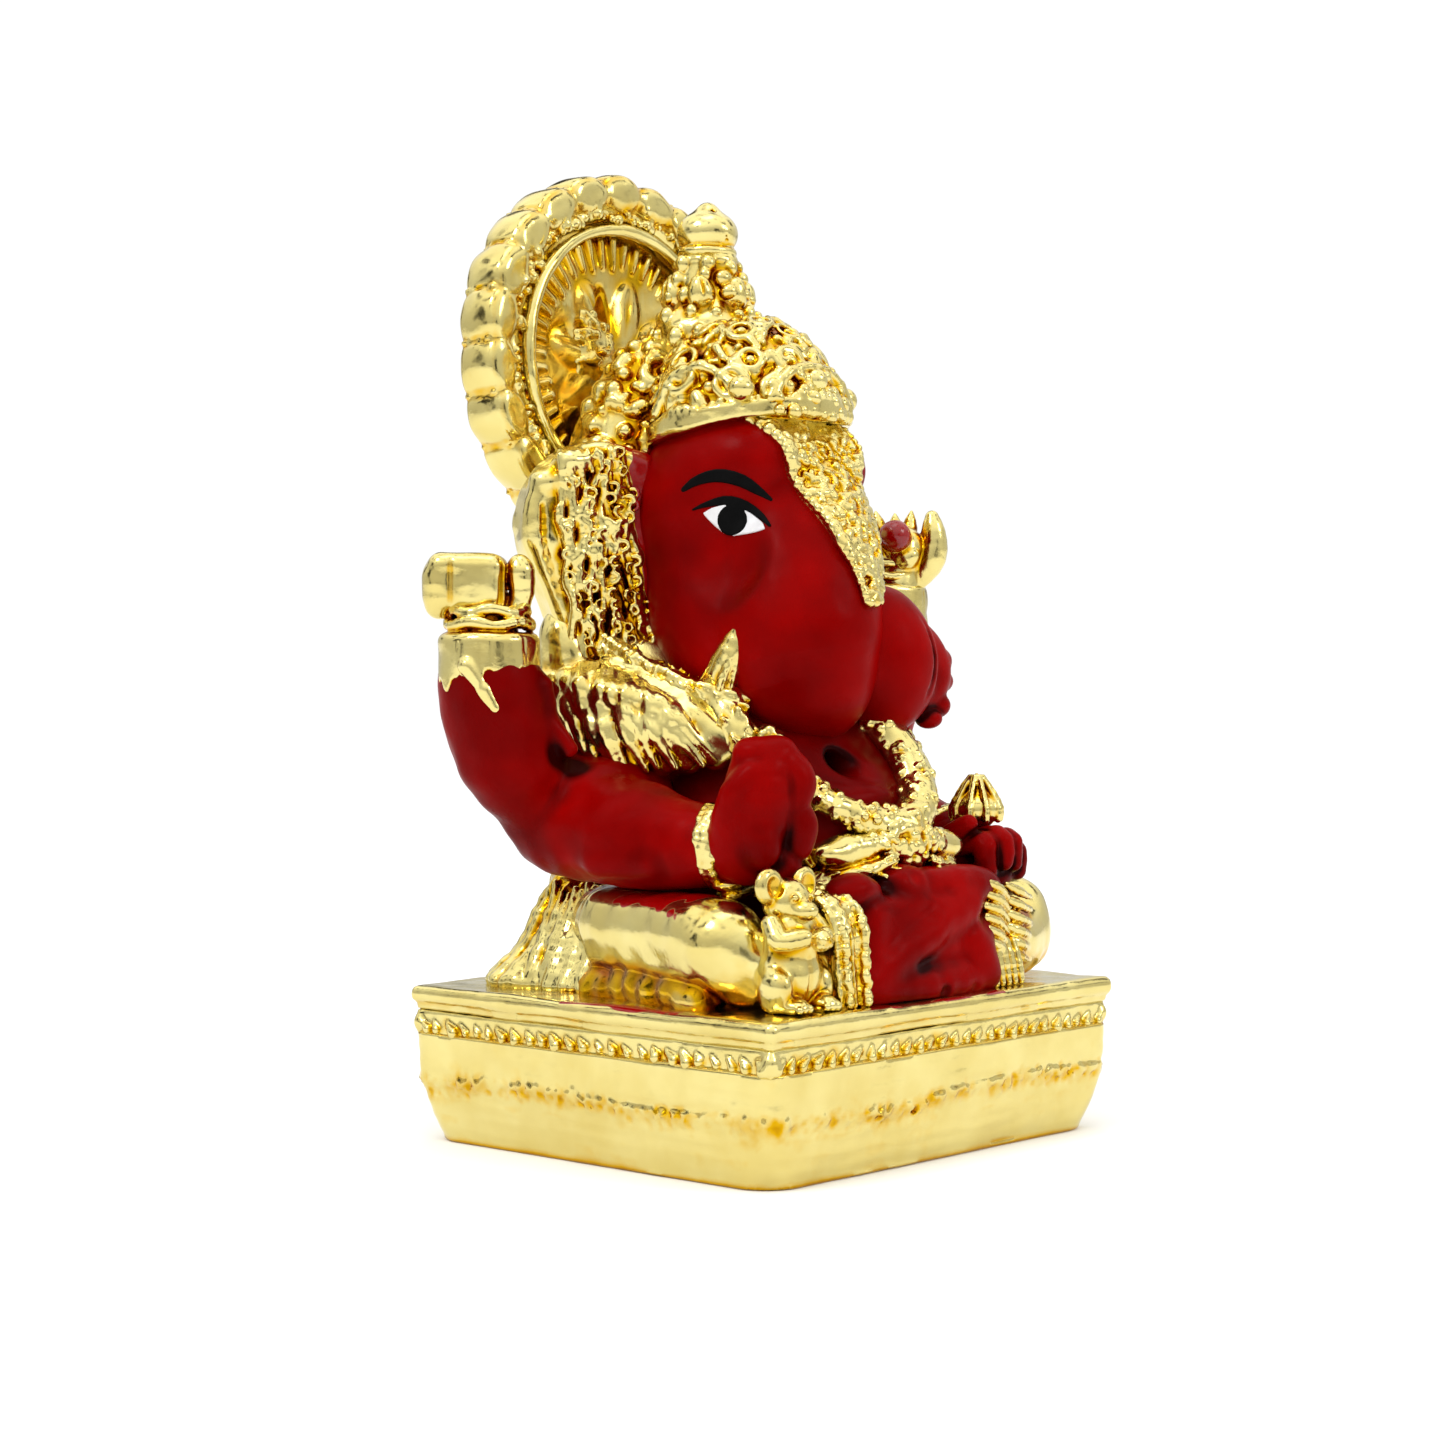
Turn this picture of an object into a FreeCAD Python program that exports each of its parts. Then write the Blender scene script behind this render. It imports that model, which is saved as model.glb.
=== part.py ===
"""Seated Ganesha idol on a plinth, as separate cast elements that seat in one another's pockets.

Millimetres. +Z is up, the idol faces -Y, and the origin is on the table under the plinth's centre.
"Right" and "left" are the idol's own: its right side is at -X.
"""

import FreeCAD
import Part

import math
import os

V = FreeCAD.Vector

# ---- driving dimensions -------------------------------------------------------------------
OVERALL_WIDTH = 35.0  # across the two raised hands
OVERALL_HEIGHT = 53.0  # table to the top of the halo
PLINTH_WIDTH = 28.4
PLINTH_DEPTH = 26.0
PLINTH_CORNER = 0.6
SLAB_LOW, SLAB_TOP = 6.9, 8.3
ROPE_LOW, ROPE_TOP = 5.7, 6.8
SEAM_HEIGHT = 3.2
DRUM_INSET, SEAM_INSET, FOOT_INSET = 0.15, 0.3, 0.7

HALO_RADIUS = 11.0
HALO_Z = OVERALL_HEIGHT - HALO_RADIUS + 0.08  # the lean takes the 0.08 back
HALO_FRONT, HALO_BACK = 9.5, 11.8
HALO_LOBES = 19
HALO_LEAN = 4.0  # degrees, its top leaning back
HALO_PIVOT = V(0, 11.0, 36.0)

CROWN_AXIS = V(0, 1.4, 0)
CROWN_RADIUS = 5.6
CROWN_LOW = 38.3
TIER_AXIS = V(0, 4.2, 0)

RAISED_HAND_RADIUS = 2.8
RAISED_HAND_X = OVERALL_WIDTH / 2 - RAISED_HAND_RADIUS
ELBOW_Y = {-1: 5.9, 1: 4.8}  # the idol's left arm is set further forward
WRIST_Y = {-1: 5.9, 1: 3.8}
RAISED_HAND_Y = {-1: 6.6, 1: 2.2}
RAISED_HAND_LIFT = {-1: 0.0, 1: 3.2}  # and its hand is carried higher

SMALLEST_PIECE = 0.25  # mm3; a cut leaves nothing smaller than this behind


# ---- shape helpers ------------------------------------------------------------------------
def ellipsoid(centre, radii, turn_z=0.0, tilt_x=0.0):
    """An ellipsoid, tilted about X and then turned about Z, both in degrees."""
    ball = Part.makeSphere(1.0)
    stretch = FreeCAD.Matrix()
    stretch.scale(radii)
    solid = ball.transformGeometry(stretch)
    solid.rotate(V(0, 0, 0), V(1, 0, 0), tilt_x)
    solid.rotate(V(0, 0, 0), V(0, 0, 1), turn_z)
    solid.translate(centre)
    return solid


def frames(points):
    """A moving frame (x, y, tangent) at each point, carried along without twist."""
    tangents = []
    for i, point in enumerate(points):
        before = points[max(i - 1, 0)]
        after = points[min(i + 1, len(points) - 1)]
        tangents.append((after - before).normalize())
    side = tangents[0].cross(V(0.31, 0.17, 0.93)).normalize()
    out = []
    for tangent in tangents:
        side = (side - tangent * side.dot(tangent)).normalize()
        out.append((side, tangent.cross(side), tangent))
    return out


def ring_wire(centre, frame, radius):
    side, up, tangent = frame
    turn = FreeCAD.Rotation(side, up, tangent, "ZXY")
    circle = Part.Circle(V(0, 0, 0), V(0, 0, 1), radius).toShape()
    circle.Placement = FreeCAD.Placement(centre, turn)
    return Part.Wire([circle])


def limb(stations, round_start=True, round_end=True):
    """A smooth round tube through (point, radius) stations, with domed ends."""
    points = [V(*p) for p, _ in stations]
    radii = [r for _, r in stations]
    moving = frames(points)
    wires = []
    if round_start:
        wires += dome(points[0], moving[0], radii[0], -1)
    wires += [ring_wire(p, f, r) for p, f, r in zip(points, moving, radii)]
    if round_end:
        wires += dome(points[-1], moving[-1], radii[-1], 1)[::-1]
    return Part.makeLoft(wires, True, False)


def dome(point, frame, radius, sense):
    """Shrinking rings that close a tube's end, the smallest first."""
    rings = []
    for angle in (80, 55, 28):
        a = math.radians(angle)
        centre = point + frame[2] * (sense * radius * 0.9 * math.sin(a))
        rings.append(ring_wire(centre, frame, radius * math.cos(a)))
    return rings


def revolve(profile, axis_point, direction=V(0, 0, 1)):
    """Turns (radius, height) points, height along direction, into a solid of revolution."""
    points = [V(r, 0, h) for r, h in profile]
    face = Part.Face(Part.makePolygon(points + [points[0]]))
    solid = face.revolve(V(0, 0, 0), V(0, 0, 1), 360)
    solid.Placement = FreeCAD.Placement(axis_point, FreeCAD.Rotation(V(0, 0, 1), direction))
    return solid


def rounded_rectangle(width, depth, corner, z):
    box = Part.makeBox(width, depth, 1, V(-width / 2, -depth / 2, z))
    upright = [e for e in box.Edges if abs(e.tangentAt(e.FirstParameter).z) > 0.9]
    box = box.makeFillet(corner, upright)
    lowest = min(box.Faces, key=lambda f: f.CenterOfMass.z)
    return lowest.OuterWire


def block(low_inset, low_z, high_inset, high_z):
    """A plinth course whose sides lean from one inset to another."""
    wires = []
    for inset, z in ((low_inset, low_z), (high_inset, high_z)):
        corner = PLINTH_CORNER
        wires.append(rounded_rectangle(PLINTH_WIDTH - 2 * inset, PLINTH_DEPTH - 2 * inset, corner, z))
    return Part.makeLoft(wires, True, True)


def oval_stack(sections):
    """A loft through level ovals given as (z, centre y, half width, half depth)."""
    wires = []
    for z, y, half_x, half_y in sections:
        wide = half_x >= half_y
        oval = Part.Ellipse(V(0, 0, 0), max(half_x, half_y), min(half_x, half_y)).toShape()
        oval.rotate(V(0, 0, 0), V(0, 0, 1), 0 if wide else 90)
        oval.translate(V(0, y, z))
        wires.append(Part.Wire([oval]))
    return Part.makeLoft(wires, True, False)


def edges_at(solid, z):
    return [e for e in solid.Edges if abs(e.BoundBox.ZMin - z) < 1e-4 and abs(e.BoundBox.ZMax - z) < 1e-4]


def group(solids):
    return Part.makeCompound(solids)


def both_sides(make):
    """The same element at the idol's right (-1) and left (+1)."""
    return group([make(-1), make(1)])


def fuse(*solids):
    whole = solids[0]
    for solid in solids[1:]:
        whole = whole.fuse(solid)
    return whole.removeSplitter()


# ---- plinth -------------------------------------------------------------------------------
def plinth():
    slab = block(0, SLAB_LOW, 0, SLAB_TOP)
    slab = slab.makeFillet(0.6, edges_at(slab, SLAB_TOP) + edges_at(slab, SLAB_LOW))
    rope = block(0.1, ROPE_LOW, 0.1, ROPE_TOP)
    rope = rope.makeFillet(0.35, edges_at(rope, ROPE_TOP) + edges_at(rope, ROPE_LOW))
    core = block(0.8, SEAM_HEIGHT, 0.8, SLAB_LOW)
    drum = block(SEAM_INSET, SEAM_HEIGHT, DRUM_INSET, ROPE_LOW)
    foot = block(FOOT_INSET, 0, SEAM_INSET, SEAM_HEIGHT)
    foot = foot.makeFillet(0.15, edges_at(foot, 0))
    return {
        "plinth_slab": slab,
        "plinth_rope_border": rope.cut(core),
        "plinth_drum": fuse(drum, core),
        "plinth_foot": foot,
    }


# ---- seat, legs and cloth -----------------------------------------------------------------
def thigh(side):
    reach = 11.2 if side < 0 else 11.8
    return limb([((side * 5.5, 3.6, 11.3), 2.9), ((side * 9.2, -1.6, 11.2), 2.85),
                 ((side * reach, -7.4, 11.3), 2.6)])


def shin(side):
    reach = 10.6 if side < 0 else 11.6
    return limb([((side * reach, -8.6, 10.3), 1.95), ((side * 7.0, -10.0, 10.2), 1.8),
                 ((side * 3.2, -10.2, 10.2), 1.6)])


def cloth_section(grow, high):
    """The side view of cloth that runs over the lap and down to the plinth."""
    front, lap = -11.4 - grow, high
    points = [V(0, -6.5, lap), V(0, -9.6, lap), V(0, front + 0.5, lap - 1.0), V(0, front, lap - 2.4),
              V(0, front - 0.5, SLAB_TOP), V(0, front + 1.3, SLAB_TOP), V(0, front + 1.4, lap - 2.6),
              V(0, -9.2, lap - 1.7), V(0, -6.5, lap - 1.7)]
    return Part.Face(Part.makePolygon(points + [points[0]]))


def cloth(x_low, x_high, grow, high):
    face = cloth_section(grow, high)
    face.translate(V(x_low, 0, 0))
    return face.extrude(V(x_high - x_low, 0, 0))


def drape():
    """The shawl's tail, which falls behind the seat and spreads on the slab."""
    return oval_stack([(14.4, 6.8, 9.0, 3.0), (11.6, 7.3, 9.6, 3.4), (SLAB_TOP, 8.4, 12.0, 4.4)])


def seat():
    borders = group([cloth(-7.6, -6.1, -0.35, 14.4), cloth(4.7, 6.4, -0.35, 14.4)])
    return {
        "lap_cloth": cloth(-6.1, 4.7, 0.0, 15.1),
        "lap_cloth_borders": borders,
        "right_thigh": thigh(-1),
        "left_thigh": thigh(1),
        "right_shin": shin(-1),
        "left_shin": shin(1),
        "back_drape": drape(),
    }


# ---- trunk of the body --------------------------------------------------------------------
def torso():
    above_slab = Part.makeBox(40, 40, 30, V(-20, -20, SLAB_TOP))
    belly = ellipsoid(V(0, -0.7, 16.4), V(7.3, 8.3, 8.6)).common(above_slab)
    girdle = limb([((-7.2, -1.5, 14.6), 0.75), ((-6.1, -5.8, 14.9), 0.75), ((-3.2, -8.6, 15.4), 0.75),
                   ((0, -9.2, 15.6), 0.8), ((3.2, -8.6, 15.4), 0.75), ((6.1, -5.8, 14.9), 0.75),
                   ((7.2, -1.5, 14.6), 0.75)])
    garland = limb([((-4.6, -3.8, 22.6), 0.8), ((-4.9, -6.2, 20.6), 0.8), ((-3.4, -8.1, 18.3), 0.85),
                    ((0, -9.1, 17.2), 0.95), ((3.2, -7.7, 18.3), 0.85), ((4.3, -5.6, 20.6), 0.8),
                    ((4.2, -3.4, 22.6), 0.8)])
    return {
        "girdle_rosette": ellipsoid(V(0, -9.7, 16.4), V(2.2, 0.9, 1.6)),
        "garland": garland,
        "girdle": girdle,
        "shawl": oval_stack([(17.2, 3.4, 8.0, 4.8), (19.6, 3.7, 9.9, 6.1), (22.2, 4.0, 10.3, 6.3),
                             (25.0, 4.8, 9.7, 5.2), (27.6, 5.6, 8.6, 3.6)]),
        "torso": belly,
    }


# ---- head ---------------------------------------------------------------------------------
def head():
    return oval_stack([(23.0, 0.2, 4.9, 3.7), (25.0, -0.1, 6.0, 4.4), (27.5, -0.1, 6.2, 4.7),
                       (30.0, 0.6, 6.1, 5.2), (33.0, 0.9, 6.0, 5.7), (36.0, 1.1, 5.7, 5.5),
                       (38.5, 1.3, 5.3, 5.2)])


def trunk():
    """It drops from between the eyes, swells, and curls up to the idol's left."""
    fall = limb([((0, 0.6, 33.4), 3.9), ((-0.4, -2.2, 30.2), 4.2), ((-1.4, -3.3, 27.2), 4.2),
                 ((-1.2, -3.8, 24.8), 3.4)])
    curl = ellipsoid(V(3.1, -5.1, 25.4), V(3.3, 3.3, 4.1))
    tip = limb([((5.2, -5.4, 26.6), 1.9), ((6.6, -5.8, 25.6), 1.5), ((7.4, -5.9, 23.8), 1.1)])
    return fuse(fall, curl, tip)


def trunk_ornament():
    """The jewelled strip that runs down the front of the trunk from the crown to a point."""
    return limb([((-0.2, -1.8, 38.2), 3.1), ((-0.2, -2.5, 35.4), 2.9), ((-0.3, -4.2, 32.4), 2.1),
                 ((-0.5, -6.2, 29.6), 1.1), ((-0.7, -7.2, 28.0), 0.4)])


def tusk(side):
    return limb([((side * 4.9, -0.8, 22.9), 1.05), ((side * 5.3, -2.0, 24.8), 0.9),
                 ((side * 5.4, -2.7, 26.4), 0.5), ((side * 5.4, -2.9, 27.4), 0.15)])


def ear(side):
    """A thick leaf, set facing forward and a little out."""
    outline = [(-1.2, 36.5), (1.4, 37.2), (3.6, 36.8), (5.4, 35.2), (6.2, 33.2), (6.0, 31.2), (5.0, 29.0),
               (4.2, 27.2), (2.8, 25.6), (0.8, 24.8), (-0.8, 25.6), (-1.3, 28.5), (-1.3, 32.5)]
    out, back = V(side * 0.905, 0.425, 0), V(-side * 0.425, 0.905, 0)
    root = V(side * 6.4, 3.2, 0)
    curve = Part.BSplineCurve()
    curve.interpolate([root + out * s + V(0, 0, z) for s, z in outline], PeriodicFlag=True)
    leaf = Part.Face(Part.Wire([curve.toShape()])).extrude(back * 3.0)
    return leaf.makeFillet(0.6, leaf.Edges)


def eye_patch(side, across, tall, thick, shift_along, shift_up):
    """A thin oval that lies on the side of the head; along is towards the trunk."""
    outward = V(side * 0.76, -0.62, 0.2).normalize()
    along = V(side * -0.62, -0.76, -0.12)
    along = (along - outward * along.dot(outward)).normalize()
    up = V(0, 0, 1) - outward * outward.z
    centre = V(side * 4.95, -2.0, 33.0) + along * shift_along + up.normalize() * shift_up
    solid = ellipsoid(V(0, 0, 0), V(across, thick, tall))
    turn = FreeCAD.Rotation(along, outward, up, "XZY")
    solid.Placement = FreeCAD.Placement(centre, turn)
    return solid


def face():
    return {
        "eye_pupils": both_sides(lambda s: eye_patch(s, 0.62, 0.72, 0.75, 0.15, -0.1)),
        "eye_whites": both_sides(lambda s: eye_patch(s, 1.75, 0.7, 0.6, 0.0, 0.0)),
        "eyebrows": both_sides(lambda s: eye_patch(s, 1.9, 0.35, 0.7, -0.2, 1.75)),
        "tusks": both_sides(tusk),
        "trunk_ornament": trunk_ornament(),
        "trunk": trunk(),
    }


def collar():
    ring = Part.makeTorus(4.8, 1.8)
    stretch = FreeCAD.Matrix()
    stretch.scale(V(1.15, 1.0, 1.0))
    ring = ring.transformGeometry(stretch)
    ring.translate(V(0, 1.8, 24.0))
    return ring


# ---- crown and halo -----------------------------------------------------------------------
def crown():
    above = Part.makeBox(40, 40, 20, V(-20, -20, CROWN_LOW))
    radii = V(CROWN_RADIUS, CROWN_RADIUS, 6.7)
    dome_shape = ellipsoid(CROWN_AXIS + V(0, 0, CROWN_LOW - 0.7), radii).common(above)
    band = Part.makeCylinder(CROWN_RADIUS + 0.35, 1.5, CROWN_AXIS + V(0, 0, CROWN_LOW - 1.1))
    gem_places = ((-4.6, -2.4, 39.6), (4.2, -1.9, 39.6), (0, -3.6, 40.4))
    gems = group([Part.makeSphere(0.85, V(*p)) for p in gem_places])
    buds = []
    for step in range(6):
        angle = math.radians(-90 + 60 * step)
        centre = TIER_AXIS + V(2.1 * math.cos(angle), 2.1 * math.sin(angle), 45.4)
        buds.append(ellipsoid(centre, V(0.85, 0.85, 1.2)))
    tier = revolve([(0, 42.6), (3.2, 42.6), (2.9, 44.0), (2.1, 45.0), (1.9, 46.5), (1.65, 46.7),
                    (1.7, 47.2), (1.4, 47.6), (0, 47.6)], TIER_AXIS)
    finial = revolve([(0, 47.6), (1.5, 47.6), (1.6, 48.0), (1.45, 48.4), (1.35, 49.0), (1.0, 49.8),
                      (0.5, 50.4), (0, 50.6)], TIER_AXIS)
    return {
        "crown_gems": gems,
        "crown_brow_band": band,
        "crown_finial": finial,
        "crown_buds": group(buds),
        "crown_tier": tier,
        "crown_dome": dome_shape,
    }


def back_hair():
    """The mass behind the head that carries the halo."""
    return ellipsoid(V(0, 6.0, 35.6), V(7.4, 5.2, 8.6))


def halo_lobe(step):
    angle = 2 * math.pi * (step + 0.5) / HALO_LOBES
    reach = HALO_RADIUS - 1.6
    x, z = reach * math.sin(angle), HALO_Z + reach * math.cos(angle)
    return Part.makeCylinder(1.6, HALO_BACK - HALO_FRONT, V(x, HALO_FRONT, z), V(0, 1, 0))


def lean_back(solid):
    solid.rotate(HALO_PIVOT, V(1, 0, 0), -HALO_LEAN)
    return solid


def halo():
    back = V(0, 1, 0)
    centre = V(0, 0, HALO_Z)
    lobes = halo_lobe(0).multiFuse([halo_lobe(i) for i in range(1, HALO_LOBES)])
    inside = Part.makeCylinder(9.3, 10, V(0, 5, HALO_Z), back)
    rim = lobes.cut(inside)
    disc = revolve([(0, 10.6), (7.2, 10.6), (7.3, 10.2), (9.3, 10.2), (9.3, 11.6), (0, 11.8)], centre, back)
    ring = Part.makeTorus(7.7, 0.5, V(0, 10.0, HALO_Z), back)
    beads = Part.makeTorus(8.75, 0.45, V(0, 10.0, HALO_Z), back)
    boss = ellipsoid(V(-1.2, 10.4, HALO_Z + 1.4), V(1.7, 0.8, 1.7))
    pieces = {
        "halo_boss": boss,
        "halo_inner_ring": ring,
        "halo_bead_ring": beads,
        "halo_petal_rim": rim,
        "halo_disc": disc,
    }
    return {name: lean_back(solid) for name, solid in pieces.items()}


# ---- arms ---------------------------------------------------------------------------------
def rear_arm(side):
    x, elbow, wrist_y, palm_y = side * RAISED_HAND_X, ELBOW_Y[side], WRIST_Y[side], RAISED_HAND_Y[side]
    name = "right" if side < 0 else "left"
    wrist = 27.2 + RAISED_HAND_LIFT[side]
    elbow_x = side * (13.8 if side < 0 else 13.0)
    arm = limb([((side * 6.5, 4.4, 19.6), 2.6), ((side * 10.6, (4.4 + elbow) / 2, 18.3), 2.65),
                ((elbow_x, elbow, 19.8), 2.6)])
    top = wrist - 2.8
    run = [0.0, 0.35, 0.7, 1.0]
    forearm = limb([((elbow_x + (x - elbow_x) * t, elbow + (wrist_y - elbow) * t, 20.6 + (top - 20.6) * t),
                     2.5 + 0.2 * t * (2 - t) - 0.15 * t) for t in run], round_end=False)
    cuff = limb([((x, wrist_y, top), 2.55), ((x, wrist_y, wrist - 1.4), 2.7),
                 ((x, wrist_y, wrist), 2.3)], round_start=False, round_end=False)
    bangle = Part.makeTorus(1.85, 0.55, V(x, wrist_y, wrist + 0.35))
    stem = limb([((x, wrist_y, wrist - 0.2), 1.8), ((x, palm_y, wrist + 1.6), 1.8)], round_end=False)
    palm = ellipsoid(V(x, palm_y, wrist + 2.1), V(RAISED_HAND_RADIUS, 1.9, 1.8))
    return {
        f"{name}_rear_cuff": fuse(cuff, bangle),
        f"{name}_rear_hand": fuse(palm, stem),
        f"{name}_rear_forearm": forearm,
        f"{name}_rear_arm": arm,
    }


def front_arm(side):
    name = "right" if side < 0 else "left"
    wrist_z = 16.1 if side < 0 else 15.4
    wrist = (side * 9.9, -5.2, wrist_z)
    arm = limb([((side * 8.0, 1.8, 20.4), 2.4), ((side * 9.8, 3.2, 18.4), 2.5),
                ((side * 10.3, 3.4, 16.3), 2.5)])
    forearm = limb([((side * 10.3, 2.6, 16.2), 2.55), ((side * 10.2, -1.2, 16.4), 2.6), (wrist, 2.0)],
                   round_end=False)
    bracelet = Part.makeTorus(1.9, 0.45, V(*wrist), V(0, 1, 0))
    if side < 0:
        hand = limb([((-9.8, -5.4, 16.2), 1.9), ((-9.5, -7.4, 16.8), 2.3), ((-9.3, -8.6, 19.0), 2.2),
                     ((-9.2, -8.7, 20.6), 1.5)], round_start=False)
    else:
        hand = limb([((9.7, -5.4, 15.3), 1.9), ((9.3, -7.6, 15.2), 2.1), ((9.1, -8.7, 15.3), 1.7)],
                    round_start=False)
    return {
        f"{name}_front_bracelet": bracelet,
        f"{name}_front_hand": hand,
        f"{name}_front_forearm": forearm,
        f"{name}_front_arm": arm,
    }


def modak():
    """The sweet held in the idol's left hand."""
    profile = [(0, 16.5), (1.4, 16.5), (1.65, 17.1), (1.35, 17.9), (0.6, 18.9), (0, 19.5)]
    return revolve(profile, V(9.0, -7.4, 0))


def mouse():
    x, y = -9.6, -10.7
    head_shape = ellipsoid(V(x, y - 0.1, 13.6), V(1.25, 1.35, 1.1))
    ears = [ellipsoid(V(x + s * 1.15, y + 0.2, 14.5), V(0.75, 0.35, 0.8)) for s in (-1, 1)]
    body = oval_stack([(SLAB_TOP, y, 1.6, 1.4), (9.6, y, 1.95, 1.65), (11.2, y, 1.8, 1.55),
                       (13.0, y, 1.2, 1.1)])
    body.translate(V(x, 0, 0))
    return {
        "mouse_sweet": Part.makeSphere(0.6, V(x - 0.3, y - 1.7, 11.9)),
        "mouse_head": fuse(head_shape, *ears),
        "mouse_body": body,
    }


# ---- assembly -----------------------------------------------------------------------------
def assembly():
    """Every element by name, in seating order: an earlier one keeps its whole shape, and
    a later one is pocketed for it."""
    pieces = {}
    pieces.update(mouse())
    pieces.update(crown())
    pieces.update(face())
    pieces.update(halo())
    for side in (-1, 1):
        pieces.update(rear_arm(side))
        pieces.update(front_arm(side))
    pieces["modak"] = modak()
    pieces["right_ear"] = ear(-1)
    pieces["left_ear"] = ear(1)
    pieces["collar"] = collar()
    pieces["head"] = head()
    pieces["back_hair"] = back_hair()
    pieces.update(torso())
    pieces.update(seat())
    pieces.update(plinth())
    return pieces


def worth_keeping(shape):
    return [s for s in shape.Solids if s.Volume > SMALLEST_PIECE]


def seat_together(pieces):
    """Cuts each element's pocket for the elements that seat in it."""
    done = {}
    for name, shape in pieces.items():
        for other in done.values():
            if shape.BoundBox.intersect(other.BoundBox):
                shape = shape.cut(other)
                if shape.isNull():
                    raise ValueError(f"{name} fails against a neighbour")
        kept = worth_keeping(shape)
        if not kept:
            raise ValueError(f"nothing is left of {name}")
        done[name] = Part.makeCompound(kept)
    return done


def main():
    os.makedirs("parts", exist_ok=True)
    for name, shape in seat_together(assembly()).items():
        solids = shape.Solids
        volume = sum(s.Volume for s in solids)
        print(f"{name:24s} {len(solids)} solid(s) {volume:8.1f} mm3 valid {shape.isValid()}")
        out = solids[0] if len(solids) == 1 else shape
        out.exportStep(f"parts/{name}.step")


main()
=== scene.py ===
"""The seated Ganesha idol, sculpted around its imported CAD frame.

Each visible element is modelled as clay: a small block of signed distances, in millimetres, that
rounded solids are blended into and carved out of. The block is then cast as a mesh in metres.
The idol faces -Y and its own right hand is towards -X. Paths are lists of (x, y, z, radius), and
each element draws its small variations from its own seeded generator.
"""

import math

import bpy
import numpy as np
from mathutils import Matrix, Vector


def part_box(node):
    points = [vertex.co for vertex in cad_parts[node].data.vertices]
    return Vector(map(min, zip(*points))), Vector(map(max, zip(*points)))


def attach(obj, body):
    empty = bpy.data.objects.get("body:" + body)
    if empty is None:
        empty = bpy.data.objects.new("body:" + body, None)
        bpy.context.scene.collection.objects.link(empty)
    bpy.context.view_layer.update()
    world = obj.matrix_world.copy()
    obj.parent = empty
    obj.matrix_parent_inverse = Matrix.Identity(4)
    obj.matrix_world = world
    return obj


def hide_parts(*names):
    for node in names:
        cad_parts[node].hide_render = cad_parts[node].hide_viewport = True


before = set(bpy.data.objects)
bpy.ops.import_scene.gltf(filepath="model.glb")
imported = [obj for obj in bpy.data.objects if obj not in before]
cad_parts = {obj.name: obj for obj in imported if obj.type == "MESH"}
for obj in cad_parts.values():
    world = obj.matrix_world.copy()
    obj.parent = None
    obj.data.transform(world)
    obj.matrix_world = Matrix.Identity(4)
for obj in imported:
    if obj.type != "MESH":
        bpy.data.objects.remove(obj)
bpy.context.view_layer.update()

import openvdb
from mathutils import Vector

MM = 0.001
FAR = 3.0  # a block's distances start out here, clear of any surface
FINE, MEDIUM, COARSE, EYE_STEP = 0.085, 0.115, 0.15, 0.055  # block spacings
SIDES = (-1, 1)  # the idol's right and left
SIDE_NAME = {-1: "right", 1: "left"}
ACROSS, NEAR = np.array([0.664, -0.748, 0]), np.array([-0.748, -0.664, 0])  # the photo's right; its camera


# ---- places in the CAD frame, in millimetres ------------------------------------------------
def box(node):
    low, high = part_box(node)
    return np.array(low) / MM, np.array(high) / MM


def mid(*nodes):
    low, high = around(*nodes)
    return (low + high) / 2


def around(*nodes):
    boxes = [box(n) for n in nodes]
    return np.min([b[0] for b in boxes], axis=0), np.max([b[1] for b in boxes], axis=0)


def unit_of(vector):
    vector = np.asarray(vector, float)
    return vector / np.linalg.norm(vector)


def turns(count, start=0.0):
    """Angles spaced evenly round a full turn."""
    return [2 * math.pi * (i + start) / count for i in range(count)]


def on_side(side, points):
    """A path that is given for the idol's left (+X), on either side."""
    return [(side * x, *rest) for x, *rest in points]


def about(origin, points):
    """A path of (x, y, z, radius) points that is given from an origin."""
    return [(*(origin + (x, y, z)), radius) for x, y, z, radius in points]


# ---- solids: (low corner, high corner, distance function) -----------------------------------
def corner(a, b, rounding):
    """The distance to a rounded edge, from the distances past the two faces that meet there."""
    outside = np.sqrt(np.maximum(a, 0) ** 2 + np.maximum(b, 0) ** 2)
    return outside + np.minimum(np.maximum(a, b), 0) - rounding


def ball(centre, radius):
    c = np.asarray(centre, float)

    def distance(x, y, z):
        return np.sqrt((x - c[0]) ** 2 + (y - c[1]) ** 2 + (z - c[2]) ** 2) - radius

    return c - radius, c + radius, distance


def axes_of(turn_z=0.0, tilt_x=0.0, roll_y=0.0):
    """Columns are a solid's own axes after a roll about Y, a tilt about X and a turn about Z."""
    a, b, c = (math.radians(v) for v in (turn_z, tilt_x, roll_y))
    rz = np.array([[math.cos(a), -math.sin(a), 0], [math.sin(a), math.cos(a), 0], [0, 0, 1]])
    rx = np.array([[1, 0, 0], [0, math.cos(b), -math.sin(b)], [0, math.sin(b), math.cos(b)]])
    ry = np.array([[math.cos(c), 0, math.sin(c)], [0, 1, 0], [-math.sin(c), 0, math.cos(c)]])
    return rz @ rx @ ry


def own_axes(c, turn, x, y, z):
    """Places given from a solid's centre, along its own axes."""
    x, y, z = x - c[0], y - c[1], z - c[2]
    return [turn[0, i] * x + turn[1, i] * y + turn[2, i] * z for i in range(3)]


def egg(centre, radii, turn=None):
    c, r = np.asarray(centre, float), np.asarray(radii, float)
    turn = np.eye(3) if turn is None else turn
    reach = np.abs(turn) @ r

    def distance(x, y, z):
        u, v, w = own_axes(c, turn, x, y, z)
        near = np.sqrt((u / r[0]) ** 2 + (v / r[1]) ** 2 + (w / r[2]) ** 2)
        steep = np.sqrt((u / r[0] ** 2) ** 2 + (v / r[1] ** 2) ** 2 + (w / r[2] ** 2) ** 2)
        return near * (near - 1) / np.maximum(steep, 1e-6)

    return c - reach, c + reach, distance


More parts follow.
